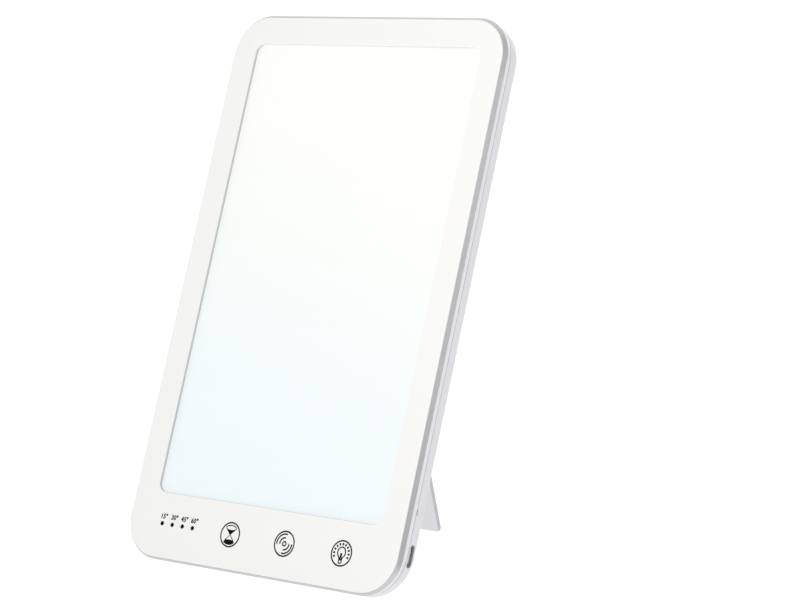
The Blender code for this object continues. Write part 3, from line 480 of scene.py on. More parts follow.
def panel_space(tree, scale=(1, 1, 1)):
    """Object coordinates turned to the panel's own axes."""
    spot = tree.nodes.new("ShaderNodeTexCoord")
    turned = add_node(tree, "ShaderNodeMapping", Vector=spot.outputs["Object"], Rotation=(LEAN, 0, 0))
    stretched = add_node(tree, "ShaderNodeMapping", Vector=turned.outputs["Vector"], Scale=scale)
    return stretched.outputs["Vector"]


def moulded_group():
    """Spark-eroded mould texture, faint flow mottling and uneven gloss."""
    tree, given, result = new_group(
        "moulded_plastic",
        {"Colour": ("Color", (0.8, 0.8, 0.8, 1)), "Roughness": ("Float", 0.4),
         "Grain Size": ("Float", 0.0003), "Grain Depth": ("Float", 0.00001),
         "Mottle": ("Float", 0.03)},
        {"Colour": "Color", "Roughness": "Float", "Normal": "Vector"})
    spot = panel_space(tree)
    per_metre = maths(tree, "DIVIDE", 1.0, given.outputs["Grain Size"])
    grain = add_node(tree, "ShaderNodeTexNoise", Vector=spot, Scale=per_metre, Detail=3.0, Roughness=0.6)
    bump = add_node(tree, "ShaderNodeBump", Strength=1.0, Distance=given.outputs["Grain Depth"],
                    Height=grain.outputs["Fac"])
    tree.links.new(bump.outputs["Normal"], result.inputs["Normal"])
    flow = add_node(tree, "ShaderNodeTexNoise", Vector=spot, Scale=38.0, Detail=4.0, Distortion=0.6)
    shift = maths(tree, "SUBTRACT", flow.outputs["Fac"], 0.5)
    amount = maths(tree, "MULTIPLY", shift, given.outputs["Mottle"])
    tone = maths(tree, "ADD", amount, 1.0)
    tree.links.new(scaled(tree, given.outputs["Colour"], tone), result.inputs["Colour"])
    dulling = maths(tree, "MULTIPLY", shift, 0.16)
    fine = maths(tree, "MULTIPLY", maths(tree, "SUBTRACT", grain.outputs["Fac"], 0.5), 0.08)
    uneven = maths(tree, "ADD", maths(tree, "ADD", given.outputs["Roughness"], dulling), fine)
    tree.links.new(uneven, result.inputs["Roughness"])
    return tree


def wear_group():
    """A mask of the edges that hands and tables rub: where the surface turns sharply, in patches."""
    tree, given, result = new_group(
        "rubbed_edges",
        {"Reach": ("Float", 0.0003), "Patch Size": ("Float", 0.008), "Amount": ("Float", 0.5)},
        {"Mask": "Float"})
    soft = add_node(tree, "ShaderNodeBevel", {"samples": 4}, Radius=given.outputs["Reach"])
    true = tree.nodes.new("ShaderNodeNewGeometry")
    same = cosine(tree, soft.outputs["Normal"], true.outputs["Normal"])
    turn = maths(tree, "MULTIPLY", maths(tree, "SUBTRACT", 1.0, same), 6.0)
    patches = add_node(tree, "ShaderNodeTexNoise", Vector=panel_space(tree), Detail=5.0, Roughness=0.7,
                       Scale=maths(tree, "DIVIDE", 1.0, given.outputs["Patch Size"]))
    spread = add_node(tree, "ShaderNodeMapRange", Value=patches.outputs["Fac"], From_Min=0.45,
                      From_Max=0.7)
    worn = maths(tree, "MULTIPLY", maths(tree, "MULTIPLY", turn, spread.outputs["Result"]),
                 given.outputs["Amount"])
    limit = add_node(tree, "ShaderNodeClamp", Value=worn)
    tree.links.new(limit.outputs["Result"], result.inputs["Mask"])
    return tree


def brushed_group():
    """Drawn or rolled metal: long fine streaks in colour, gloss and height."""
    tree, given, result = new_group(
        "drawn_metal",
        {"Colour": ("Color", (0.7, 0.7, 0.7, 1)), "Roughness": ("Float", 0.3),
         "Streak Size": ("Float", 0.0002)},
        {"Colour": "Color", "Roughness": "Float", "Normal": "Vector"})
    streaks = add_node(tree, "ShaderNodeTexNoise", Vector=panel_space(tree, (0.04, 1, 1)), Detail=4.0,
                       Roughness=0.65, Scale=maths(tree, "DIVIDE", 1.0, given.outputs["Streak Size"]))
    shift = maths(tree, "SUBTRACT", streaks.outputs["Fac"], 0.5)
    tone = maths(tree, "ADD", maths(tree, "MULTIPLY", shift, 0.25), 1.0)
    tree.links.new(scaled(tree, given.outputs["Colour"], tone), result.inputs["Colour"])
    dull = maths(tree, "ADD", given.outputs["Roughness"], maths(tree, "MULTIPLY", shift, 0.3))
    tree.links.new(dull, result.inputs["Roughness"])
    bump = add_node(tree, "ShaderNodeBump", Strength=0.6, Distance=0.000006,
                    Height=streaks.outputs["Fac"])
    tree.links.new(bump.outputs["Normal"], result.inputs["Normal"])
    return tree


MOULDED = moulded_group()
RUBBED = wear_group()
DRAWN = brushed_group()


def finish_material(name, group, values, **shader_values):
    """A material that starts from a shared group. Returns it with its tree, shader and group node."""
    made = bpy.data.materials.new(name)
    made.use_nodes = True
    tree = made.node_tree
    shader = tree.nodes["Principled BSDF"]
    for key, value in shader_values.items():
        shader.inputs[key.replace("_", " ")].default_value = value
    surface = add_node(tree, "ShaderNodeGroup", {"node_tree": group}, **values)
    tree.links.new(surface.outputs["Colour"], shader.inputs["Base Color"])
    tree.links.new(surface.outputs["Roughness"], shader.inputs["Roughness"])
    tree.links.new(surface.outputs["Normal"], shader.inputs["Normal"])
    return made, tree, shader, surface


def plastic(name, colour, roughness, grain, depth, mottle, wear=0, rubbed=None, **shader_values):
    """Moulded plastic, with rubbed edges where asked."""
    values = {"Colour": (*colour, 1), "Roughness": roughness, "Grain Size": grain,
              "Grain Depth": depth, "Mottle": mottle}
    made, tree, shader, surface = finish_material(name, MOULDED, values, **shader_values)
    if wear:
        edges = add_node(tree, "ShaderNodeGroup", {"node_tree": RUBBED}, Amount=wear)
        colour = blended(tree, edges.outputs["Mask"], surface.outputs["Colour"], rubbed)
        tree.links.new(colour, shader.inputs["Base Color"])
    return made


def metal(name, colour, roughness, streak):
    values = {"Colour": (*colour, 1), "Roughness": roughness, "Streak Size": streak}
    return finish_material(name, DRAWN, values, Metallic=1.0)[0]


def window_edge_painted_shade():
    """The window's edge in grey as painted shade, darker still on its left and lower walls by the way they
    face.
    """
    values = {"Colour": (0.80, 0.80, 0.79, 1), "Roughness": 0.45, "Grain Size": 0.0002,
              "Grain Depth": 0.000003, "Mottle": 0.02}
    made, tree, shader, surface = finish_material("grey_window_edge_painted_shade", MOULDED, values)
    spot = tree.nodes.new("ShaderNodeTexCoord")
    # Walls that look right and up, the window's left and lower sides, take the darker painted shade
    shaded_sides = facing(tree, spot.outputs["Normal"], leaned.to_3x3() @ Vector((0.71, 0, 0.71)), -0.5, 0.5)
    colour = blended(tree, shaded_sides, surface.outputs["Colour"], (0.56, 0.565, 0.56))
    tree.links.new(colour, shader.inputs["Base Color"])
    return made


def glowing_opal():
    """Opal sheet lit from behind. Its glow runs warm at the upper right to cool at the lower left, a
    painted glare across the sheet.
    """
    values = {"Colour": (0.36, 0.36, 0.36, 1), "Roughness": 0.42, "Grain Size": 0.0002,
              "Grain Depth": 0.000004, "Mottle": 0.01}
    made, tree, shader, surface = finish_material("opal_sheet", MOULDED, values)
    parts = add_node(tree, "ShaderNodeSeparateXYZ", Vector=panel_space(tree))
    # A diagonal ramp across the sheet: the painted glare
    slide = maths(tree, "ADD", maths(tree, "MULTIPLY", parts.outputs["X"], 0.18), parts.outputs["Z"])
    along = add_node(tree, "ShaderNodeMapRange", Value=slide, From_Min=0.03, From_Max=0.175)
    painted_glare_tint = add_node(tree, "ShaderNodeValToRGB", Fac=along.outputs["Result"])
    stops = painted_glare_tint.color_ramp.elements
    stops[0].color = (0.85, 0.943, 0.995, 1)
    stops[1].color = (0.987, 0.987, 0.928, 1)
    stops.new(0.31).color = (0.878, 0.965, 0.965, 1)
    stops.new(0.625).color = (0.922, 0.98, 0.937, 1)
    tree.links.new(painted_glare_tint.outputs["Color"], shader.inputs["Emission Color"])
    shader.inputs["Emission Strength"].default_value = 0.6
    return made


FACE_WHITE = plastic("satin_white_face", (0.89, 0.885, 0.86), 0.34, grain=0.00022, depth=0.000003,
                     mottle=0.012)
WINDOW_EDGE_PAINTED_SHADE = window_edge_painted_shade()
TRIM_GREY = plastic("silver_grey_trim", (0.555, 0.555, 0.567), 0.30, grain=0.00012, depth=0.000003,
                    mottle=0.02, wear=0.08, rubbed=(0.68, 0.68, 0.69), Metallic=0.6)
SHELL_PALE = plastic("fine_grained_shell", (0.745, 0.745, 0.765), 0.48, grain=0.00035, depth=0.000016,
                     mottle=0.02, wear=0.12, rubbed=(0.83, 0.83, 0.85))
STAND_PALE = plastic("fine_grained_stand", (0.755, 0.757, 0.775), 0.48, grain=0.00035, depth=0.000016,
                     mottle=0.02)
BAND_PALE = plastic("pale_band", (0.765, 0.765, 0.78), 0.30, grain=0.00025, depth=0.000003, mottle=0.015,
                    Coat_Weight=0.9, Coat_Roughness=0.12)
OPAL = glowing_opal()
SMOKED = plastic("smoked_lens", (0.002, 0.002, 0.0022), 0.35, grain=0.0006, depth=0.000001, mottle=0.1,
                 Specular_IOR_Level=0.08)
INK = plastic("black_key_ink", (0.003, 0.003, 0.0035), 0.6, grain=0.00006, depth=0.000004, mottle=0.3,
              Specular_IOR_Level=0.06)
RUBBER = plastic("pale_rubber", (0.78, 0.78, 0.79), 0.82, grain=0.0004, depth=0.00003, mottle=0.08)
NYLON = plastic("natural_nylon", (0.78, 0.76, 0.70), 0.5, grain=0.0005, depth=0.000006, mottle=0.05,
                Subsurface_Weight=0.2)
SOCKET_BLACK = plastic("black_socket_plastic", (0.03, 0.03, 0.032), 0.55, grain=0.0002, depth=0.000008,
                       mottle=0.15)
CHIP_BLACK = plastic("epoxy_black", (0.025, 0.025, 0.027), 0.6, grain=0.00018, depth=0.000012,
                     mottle=0.2)
LEAD_WHITE = plastic("white_lead_jacket", (0.82, 0.82, 0.80), 0.45, grain=0.0004, depth=0.00001,
                     mottle=0.05)
BOARD_WHITE = plastic("white_solder_mask", (0.84, 0.84, 0.82), 0.35, grain=0.0008, depth=0.000006,
                      mottle=0.05)
BOARD_GREEN = plastic("green_solder_mask", (0.02, 0.16, 0.07), 0.32, grain=0.0012, depth=0.00001,
                      mottle=0.35, Coat_Weight=0.4)
REFLECTOR = plastic("white_reflector_film", (0.93, 0.93, 0.93), 0.3, grain=0.0015, depth=0.00001,
                    mottle=0.02)
CLEAR = plastic("clear_acrylic", (0.95, 0.97, 0.97), 0.08, grain=0.004, depth=0.000001, mottle=0.01,
                Transmission_Weight=0.9, IOR=1.49)
TRAY_METAL = metal("rolled_aluminium", (0.78, 0.79, 0.80), 0.32, 0.0003)
STEEL = metal("zinc_plated_steel", (0.68, 0.68, 0.66), 0.28, 0.00008)
SOCKET_STEEL = metal("drawn_socket_steel", (0.5, 0.5, 0.5), 0.35, 0.0001)
SOCKET_INSIDE = metal("shaded_socket_steel", (0.62, 0.62, 0.61), 0.6, 0.0001)
# Darker paint for the leg's right side and underside: painted shade
STAND_SIDE_PAINTED_SHADE = plastic("stand_side_painted_shade", (0.57, 0.57, 0.59), 0.5, grain=0.00035, depth=0.00002, mottle=0.05)
TONGUE_GREY = plastic("grey_tongue_plastic", (0.55, 0.55, 0.54), 0.5, grain=0.0002, depth=0.000004,
                      mottle=0.15)

CARRIED_OVER = {
    TRAY_METAL: ("backing_tray", "capacitor_left", "capacitor_right"),
    STEEL: ("board_screw_1", "board_screw_2", "board_screw_3", "board_screw_4", "tray_screw_1",
            "tray_screw_2", "hinge_pin_left", "hinge_pin_right"),
    CHIP_BLACK: ("controller_chip", "driver_chip_left", "driver_chip_right", "inductor_left",
                 "inductor_right"),
    SOCKET_BLACK: ("flex_socket",),
    TONGUE_GREY: ("usb_contact_tongue",),
    NYLON: ("hinge_washer_left", "hinge_washer_right"),
    LEAD_WHITE: ("led_lead_left", "led_lead_right", "led_socket_left", "led_socket_right",
                 "touch_flex"),
    BOARD_WHITE: ("led_strip_left", "led_strip_right"),
    BOARD_GREEN: ("main_board", "touch_board"),
    REFLECTOR: ("reflector_sheet",),
    CLEAR: ("light_guide",),
}


def dress_frame():
    """Gives every CAD node that stays in view its finish."""
    for finish, names in CARRIED_OVER.items():
        for name in names:
            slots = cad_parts[name].data.materials
            for index in range(max(1, len(slots))):
                if index < len(slots):
                    slots[index] = finish
                else:
                    slots.append(finish)


# The front: face plate with its window, trim ring and light band

def face_plate():
    face = plate(
        "face_plate", VISIBLE_HALF - SHUT_LINE, VISIBLE_LOW + SHUT_LINE, VISIBLE_HIGH - SHUT_LINE, 0,
        BEZEL_RIM, FACE_CORNER - SHUT_LINE)
    place(face, VISIBLE_SHIFT)
    edit(face)
    pick("FACE", faces_to("y", 1))
    bpy.ops.mesh.inset(thickness=RIM_INSET, use_even_offset=True)
    bpy.ops.mesh.extrude_region_move(
        TRANSFORM_OT_translate={"value": (0, FACE_THICKNESS - BEZEL_RIM, 0)})
    leave()
    round_off(face, rim_at("y", 0), FACE_EDGE_ROUND, 5)
    window = block("window", (WINDOW_LEFT, -OVERRUN, WINDOW_LOW),
                   (WINDOW_RIGHT, FACE_THICKNESS + OVERRUN, WINDOW_HIGH))
    round_off(window, runs_along("y"), WINDOW_CORNER, 12)
    carve(face, window)
    for x in TIMER_PLACES:
        carve(face, bar(
            "lens_hole", LENS_RADIUS + LENS_PLAY, (x, -OVERRUN, LENS_HEIGHT),
            (x, FACE_THICKNESS + OVERRUN, LENS_HEIGHT), 32))
    round_off(face, rim_at("y", 0, lambda spot: by_window(spot, NEAR)), WINDOW_EDGE_ROUND, 5)
    posts = [(x, height, BOARD_FRONT - GAP) for x, height in BOARD_POSTS]
    posts += [(side * EAR_X, EAR_HEIGHT, TRAY_FRONT - GAP) for side in (-1, 1)]
    for x, z, end in posts:
        weld(face, bar("post", POST_BORE + POST_WALL, (x, FACE_THICKNESS / 2, z), (x, end, z), 24))
        carve(face, bar("post_bore", POST_BORE, (x, FACE_THICKNESS, z), (x, end + OVERRUN, z), 24))
    weld(face, *snap_hooks())
    # The window's walls take the grey painted shade
    fit(face, FACE_WHITE, "face_white", "front_bezel", second=WINDOW_EDGE_PAINTED_SHADE, second_test=window_wall_for_painted_shade)


def by_window(spot, beyond):
    """Whether a spot is in the window, or not far beyond its edges."""
    return (WINDOW_LEFT - beyond < spot.x < WINDOW_RIGHT + beyond
            and WINDOW_LOW - beyond < spot.z < WINDOW_HIGH + beyond)


def window_wall_for_painted_shade(face):
    """The window's walls and the inner part of the rounding that leads into them, which take painted
    shade. Along the lower edge more of the rounding takes it, as a painted shadow line.
    """
    spot = face.center
    beside = min(spot.x - WINDOW_LEFT, WINDOW_RIGHT - spot.x) < WINDOW_CORNER
    level = min(spot.z - WINDOW_LOW, WINDOW_HIGH - spot.z) < WINDOW_CORNER
    turned = 0.95 if spot.z < WINDOW_LOW else 0.6
    return ((beside or level) and by_window(spot, WINDOW_EDGE_ROUND + NEAR)
            and abs(face.normal.y) < turned and spot.y < FACE_THICKNESS)


def snap_hooks():
    """Hooks behind the face that catch the band's lip."""
    wall, reach, half, tip = 0.0012, 0.0008, 0.003, 0.0009
    catch = SEAM_DEPTH + LIP_HEIGHT + GAP
    end = catch + tip
    hooks = []
    sides = [(side * FRAME_INNER, FACE_HEIGHT * share, side, 0)
             for share in HOOK_SHARES for side in (-1, 1)]
    low, high = FRAME_INSET - BODY_FLARE, FACE_HEIGHT + BODY_FLARE - FRAME_INSET
    ends = [(side * HOOK_X, edge, 0, up) for edge, up in ((low, -1), (high, 1)) for side in (-1, 1)]
    for x, z, across, up in sides + ends:
        out = Vector((across, 0, up))
        along = Vector((abs(up) * half, 0, abs(across) * half))
        spot = Vector((x, 0, z))
        arm = [spot - out * GAP - along, spot - out * (GAP + wall) + along]
        nub = [spot + out * reach - along, spot - out * (GAP + wall / 2) + along]
        for name, (a, b), front in (("arm", arm, FACE_THICKNESS / 2), ("nub", nub, catch)):
            lower = (min(a.x, b.x), front, min(a.z, b.z))
            upper = (max(a.x, b.x), end, max(a.z, b.z))
            hooks.append(block("hook_" + name, lower, upper))
    return hooks


def trim_ring():
    ring = inset_plate("trim_ring", -TRIM_PROUD, TRIM_DEPTH - TRIM_LAND, TRIM_DEPTH, TRIM_CORNER)
    edit(ring)
    pick("FACE", faces_to("y", -1))
    bpy.ops.mesh.inset(thickness=BODY_FLARE + TRIM_PROUD + BEZEL_LAP, use_even_offset=True)
    bpy.ops.transform.translate(value=(0, TRIM_FRONT + TRIM_LAND - TRIM_DEPTH, 0))
    leave()
    round_off(ring, rim_at("y", TRIM_DEPTH), TRIM_LAND / 2, 2)
    seat = plate("trim_seat", VISIBLE_HALF + SHUT_LINE, VISIBLE_LOW - SHUT_LINE, VISIBLE_HIGH + SHUT_LINE,
                 -OVERRUN, BEZEL_RIM + GAP, FACE_CORNER + SHUT_LINE)
    place(seat, VISIBLE_SHIFT)
    carve(
        ring, seat,
        plate("trim_opening", FACE_HALF - TRIM_FLANGE, TRIM_FLANGE, FACE_HEIGHT - TRIM_FLANGE,
              -OVERRUN, TRIM_DEPTH + OVERRUN, FACE_CORNER - TRIM_FLANGE))
    fit(ring, TRIM_GREY, "trim_grey", "edge_trim")


def light_band():
    band = inset_plate("light_band", 0, BAND_FRONT, SEAM_DEPTH)
    round_off(band, rim_at("y", BAND_FRONT), BAND_EDGE_ROUND, 3)
    round_off(band, rim_at("y", SEAM_DEPTH), BAND_EDGE_ROUND, 3)
    weld(band, inset_plate("seam_ledge", SEAM_GROOVE, BAND_FRONT + GAP, SHELL_FRONT - SHUT_LINE,
                           SHELL_CORNER - SEAM_GROOVE))
    weld(band, inset_plate("band_lip", BAND_WALL + GAP, BAND_FRONT + GAP, SEAM_DEPTH + LIP_HEIGHT))
    carve(band, inset_plate("band_inside", FRAME_INSET, BAND_FRONT - OVERRUN, SEAM_DEPTH + OVERRUN * 2))
    for x, z in SCREW_PLACES:
        web_x = math.copysign(FRAME_INNER + WALL / 2, x)
        weld(
            band,
            bar("column", SHANK_ROOM + WALL, (x, BAND_FRONT, z), (x, COLUMN_REAR, z), 32),
            block("column_web", (min(x, web_x), BAND_FRONT, z - WALL),
                  (max(x, web_x), SEAM_DEPTH + LIP_HEIGHT, z + WALL)))
        carve(band, bar(
            "column_bore", SHANK_ROOM, (x, CASE_TIP - GAP, z), (x, COLUMN_REAR + OVERRUN, z), 32))
    half = SOCKET_LENGTH / 2 + GAP
    carve(band, block(
        "socket_passage", (FRAME_INNER - OVERRUN, SOCKET_DEPTH - SOCKET_THICKNESS / 2 - GAP,
                           SOCKET_HEIGHT - half),
        (BODY_HALF - BAND_WALL, SOCKET_DEPTH + SOCKET_THICKNESS, SOCKET_HEIGHT + half)))
    fit(band, BAND_PALE, "shell_pale", "mid_frame")


# The back shell, with the stand's pocket, hinge lugs, screw bosses and charging port

def slot_bar(name, start, end, half_thick, half_length):
    """A bar along X with a slot-shaped section, at the charging socket's place."""
    piece = block(
        name, (start, SOCKET_DEPTH - half_thick, SOCKET_HEIGHT - half_length),
        (end, SOCKET_DEPTH + half_thick, SOCKET_HEIGHT + half_length))
    round_off(piece, runs_along("x"), half_thick * SLOT_ROUND, SLOT_STEPS)
    return piece


def foot_block(name, side, size, round_width=0):
    """A block level with the table, under the shell's rounded lower edge."""
    piece = block(name, (-size.x / 2, FOOT_PAD_BACK - size.y / 2, -EDGE_DROP),
                  (size.x / 2, FOOT_PAD_BACK + size.y / 2, size.z - EDGE_DROP))
    if round_width:
        round_off(piece, lambda edge: True, round_width, 3)
    place(piece, Matrix.Translation((side * FOOT_PAD_X, EDGE_DEPTH, EDGE_HEIGHT)) @ Matrix.Rotation(
        LEAN, 4, "X"))
    return piece


def back_shell():
    shell = inset_plate("back_shell", 0, SHELL_FRONT, BODY_DEPTH)
    round_off(shell, rim_at("y", BODY_DEPTH), SHELL_EDGE_RADIUS, 10)
    round_off(shell, rim_at("y", SHELL_FRONT), SHELL_LIP_ROUND, 2)
    hollow = inset_plate("shell_hollow", BAND_WALL, SHELL_FRONT - OVERRUN, SHELL_FLOOR)
    round_off(hollow, rim_at("y", SHELL_FLOOR), SHELL_INNER_RADIUS, 6)
    carve(shell, hollow)
    weld(
        shell,
        block("pocket_back", (-POCKET_HALF - POCKET_WALL, POCKET_FLOOR - POCKET_WALL,
                              POCKET_LOW - POCKET_WALL),
              (POCKET_HALF + POCKET_WALL, WELD_DEPTH, HINGE_HEIGHT)),
        block("hinge_back", (-LUG_OUTER, STOP_DEPTH - HINGE_WALL, HINGE_HEIGHT - BARREL_ROOM * 2),
              (LUG_OUTER, WELD_DEPTH, POCKET_TOP + POCKET_WALL)))
    for side in (-1, 1):
        weld(shell, block(
            "tray_rib", (side * RIB_X - POCKET_WALL / 2, TRAY_REAR + GAP, TRAY_LOW + 0.001),
            (side * RIB_X + POCKET_WALL / 2, WELD_DEPTH, TRAY_LOW + RIB_LENGTH)))
    weld(shell, bar(
        "scoop_back", SCOOP_RADIUS + POCKET_WALL, (0, SCOOP_FLOOR - POCKET_WALL, SCOOP_HEIGHT),
        (0, WELD_DEPTH, SCOOP_HEIGHT)))
    pin_end = LUG_FACE + PIN_IN_LUG + GAP
    carve(
        shell,
        block("leg_pocket", (-POCKET_HALF, POCKET_FLOOR, POCKET_LOW),
              (POCKET_HALF, BODY_DEPTH + OVERRUN, HINGE_HEIGHT - (BARREL_ROOM + PIN_RADIUS) / 2)),
        block("hinge_pocket", (-LUG_FACE, STOP_DEPTH, HINGE_HEIGHT - BARREL_ROOM),
              (LUG_FACE, BODY_DEPTH + OVERRUN, POCKET_TOP)),
        bar("finger_scoop", SCOOP_RADIUS, (0, SCOOP_FLOOR, SCOOP_HEIGHT),
            (0, BODY_DEPTH + OVERRUN, SCOOP_HEIGHT)),
        bar("pin_bore", PIN_RADIUS + PIN_PLAY, (-pin_end, HINGE_DEPTH, HINGE_HEIGHT),
            (pin_end, HINGE_DEPTH, HINGE_HEIGHT), 32))
    for x, z in SCREW_PLACES:
        weld(shell, bar("boss", HEAD_ROOM + WALL, (x, BOSS_FRONT, z), (x, WELD_DEPTH, z), 32))
        carve(
            shell,
            bar("head_room", HEAD_ROOM, (x, BOSS_FLOOR, z), (x, BODY_DEPTH + OVERRUN, z), 36),
            bar("shank_hole", SHANK_ROOM, (x, BOSS_FRONT - OVERRUN, z), (x, BOSS_FLOOR + OVERRUN, z),
                32))
    carve(
        shell,
        slot_bar("port_hole", BODY_HALF - BAND_WALL - OVERRUN, BODY_HALF + OVERRUN,
                 SOCKET_THICKNESS / 2 + SOCKET_ROOM, SOCKET_LENGTH / 2 + SOCKET_END_ROOM),
        block("seam_nick", (BODY_HALF - NICK_DEPTH, SHELL_FRONT - OVERRUN, NICK_HEIGHT - NICK_LENGTH / 2),
              (BODY_HALF + OVERRUN, SHELL_FRONT + NICK_WIDTH, NICK_HEIGHT + NICK_LENGTH / 2)))
    for side in (-1, 1):
        carve(shell, foot_block(
            "foot_seat", side, FOOT_PAD + Vector((GAP * 2, GAP * 2, GAP))))
    fit(shell, SHELL_PALE, "shell_pale", "rear_shell")


def rubber_feet():
    for side, side_name in ((-1, "left"), (1, "right")):
        foot = foot_block("rubber_foot_" + side_name, side, FOOT_PAD, PAD_EDGE_ROUND)
        fit(foot, RUBBER, "pale_rubber", "foot_pad_" + side_name)


def opal_sheet():
    sheet = plate(
        "opal_sheet", DIFFUSER_HALF, DIFFUSER_LOW, DIFFUSER_HIGH, DIFFUSER_FRONT, DIFFUSER_REAR,
        WINDOW_CORNER / 2, 8)
    round_off(sheet, rim_at("y", DIFFUSER_FRONT), DIFFUSER_EDGE_ROUND, 2)
    fit(sheet, OPAL, "opal", "diffuser_panel")


def timer_lenses():
    for index, x in enumerate(TIMER_PLACES):
        lens = bar(
            "domed_lens_%d" % (index + 1), LENS_RADIUS + LENS_PLAY / 2, (x, 0, LENS_HEIGHT),
            (x, DIFFUSER_FRONT - GAP, LENS_HEIGHT), 32)
        round_off(lens, rim_at("y", 0), LENS_DOME, 5)
        fit(lens, SMOKED, "smoked_lens", "timer_lens_%d" % (index + 1))


# Screws and hinge hardware

def case_screws():
    """One pan-head screw with a cross recess, modelled with its head up, then copied."""
    screw = bar("case_screw", HEAD_RADIUS, (0, 0, 0), (0, 0, HEAD_HEIGHT), 40)
    round_off(screw, rim_at("z", HEAD_HEIGHT), HEAD_RADIUS * 0.34, 6)
    edit(screw)
    pick("FACE", faces_to("z", -1))
    bpy.ops.mesh.inset(thickness=HEAD_RADIUS - SHANK_RADIUS, use_even_offset=True)
    length = CASE_SEAT - CASE_TIP
    bpy.ops.mesh.extrude_region_move(
        TRANSFORM_OT_translate={"value": (0, 0, SHANK_RADIUS - length)})
    bpy.ops.mesh.extrude_region_move(TRANSFORM_OT_translate={"value": (0, 0, -SHANK_RADIUS)})
    bpy.ops.transform.resize(value=(0.15, 0.15, 1), center_override=(0, 0, -length))
    leave()
    arm, blade, floor = HEAD_RADIUS * 0.62, HEAD_RADIUS * 0.14, HEAD_HEIGHT * 0.4
    for wide, narrow in ((arm, blade), (blade, arm)):
        wedge = block("wedge", (-wide, -narrow, floor), (wide, narrow, HEAD_HEIGHT + OVERRUN))
        edit(wedge)
        pick("FACE", faces_to("z", -1))
        bpy.ops.transform.resize(value=(0.6, 0.6, 1), center_override=(0, 0, floor))
        leave()
        carve(screw, wedge)
    for index, (x, z) in enumerate(SCREW_PLACES):
        made = copy_of(screw, "shell_screw_%d" % (index + 1))
        seat = Matrix.Translation((x, CASE_SEAT, z)) @ Matrix.Rotation(-math.pi / 2, 4, "X")
        fit(made, STEEL, "zinc_steel", "case_screw_%d" % (index + 1),
            where=leaned @ seat @ Matrix.Rotation(0.7 + index * 1.1, 4, "Z"))
    bpy.data.objects.remove(screw, do_unlink=True)


# The stand

def stand_leg():
    rear, front = BARREL_RADIUS, BARREL_RADIUS - LEG_THICKNESS
    leg = plate("stand_leg", LEG_HALF, -LEG_REACH - LEG_END_EXTRA, LEG_HEEL, front, rear, LEG_CORNER, 10)
    round_off(leg, rim_at("y", front), LEG_EDGE_ROUND, 4)
    round_off(leg, rim_at("y", rear), LEG_EDGE_ROUND, 4)
    weld(leg, bar("barrel", BARREL_RADIUS - NEAR, (-BARREL_HALF, 0, 0), (BARREL_HALF, 0, 0), 40))
    for side in (-1, 1):
        near, far = sorted((side * BARREL_HALF, side * (LEG_HALF + OVERRUN)))
        carve(
            leg,
            block("barrel_end", (near, front - OVERRUN, -BARREL_ROOM), (far, rear + OVERRUN,
                                                                        LEG_HEEL + OVERRUN)),
            bar("leg_bore", PIN_RADIUS + PIN_PLAY, (side * (BARREL_HALF + OVERRUN), 0, 0),
                (side * (LEG_HALF - PIN_IN_LEG - GAP), 0, 0), 32))
    below = Vector((LEG_HALF * 4, 0.01, 0.01))
    carve(leg, leg_pad_block("table_cut", below, height=LEG_END_ROOM - below.z),
          leg_pad_block("pad_seat", LEG_PAD + Vector((GAP * 2, GAP, GAP * 2)), height=-GAP))
    # The leg's faces that look right or down take the darker painted shade
    fit(leg, STAND_PALE, "shell_pale", "kickstand_leg", body="stand", where=hinged, second=STAND_SIDE_PAINTED_SHADE,
        second_test=lambda face: face.normal.x > 0.7 or face.normal.z < -0.3)
    fit(leg_pad_block("stand_pad", LEG_PAD, PAD_EDGE_ROUND), RUBBER, "pale_rubber", "leg_pad",
        body="stand", where=hinged)


def leg_pad_block(name, size, round_width=0, height=0):
    """A block at the leg's end that is level with the table when the stand is open."""
    piece = block(name, (-size.x / 2, -size.y / 2, height), (size.x / 2, size.y / 2, height + size.z))
    if round_width:
        round_off(piece, lambda edge: True, round_width, 3)
    place(piece, Matrix.Translation((0, BARREL_RADIUS - LEG_THICKNESS / 2, -LEG_REACH))
          @ Matrix.Rotation(LEAN - OPEN_ANGLE, 4, "X"))
    return piece


# The charging socket

def charging_socket():
    shell = slot_bar(
        "socket_shell", SOCKET_MOUTH - SOCKET_REACH, SOCKET_MOUTH, SOCKET_THICKNESS / 2, SOCKET_LENGTH / 2)
    edit(shell)
    pick("FACE", faces_to("x", 1))
    bpy.ops.mesh.inset(thickness=SOCKET_SHEET, use_even_offset=True)
    bpy.ops.mesh.extrude_region_move(
        TRANSFORM_OT_translate={"value": (SOCKET_SHEET - SOCKET_REACH, 0, 0)})
    leave()
    round_off(shell, rim_at("x", SOCKET_MOUTH), SOCKET_EDGE_ROUND, 2)
    fit(shell, SOCKET_STEEL, "zinc_steel", "usb_socket_shell", second=SOCKET_INSIDE,
        second_test=socket_inside)


def socket_inside(face):
    """The inner walls and the floor of the socket's shell."""
    spot, sheet = face.center, SOCKET_SHEET * 0.75
    return (spot.x < SOCKET_MOUTH - sheet and abs(spot.y - SOCKET_DEPTH) < SOCKET_THICKNESS / 2 - sheet
            and abs(spot.z - SOCKET_HEIGHT) < SOCKET_LENGTH / 2 - sheet)


# Prints on the face: key rings with their signs, and the timer's numbers

def on_face(across, up, centre_x):
    return Vector((centre_x + across * 0.001, 0, KEY_HEIGHT + up * KEY_TALLER * 0.001))


def around(angle, wide, tall, up=0):
    """A spot on an upright ellipse, in millimetres, at an angle in degrees."""
    angle = math.radians(angle)
    return wide * math.cos(angle), tall * math.sin(angle) + up


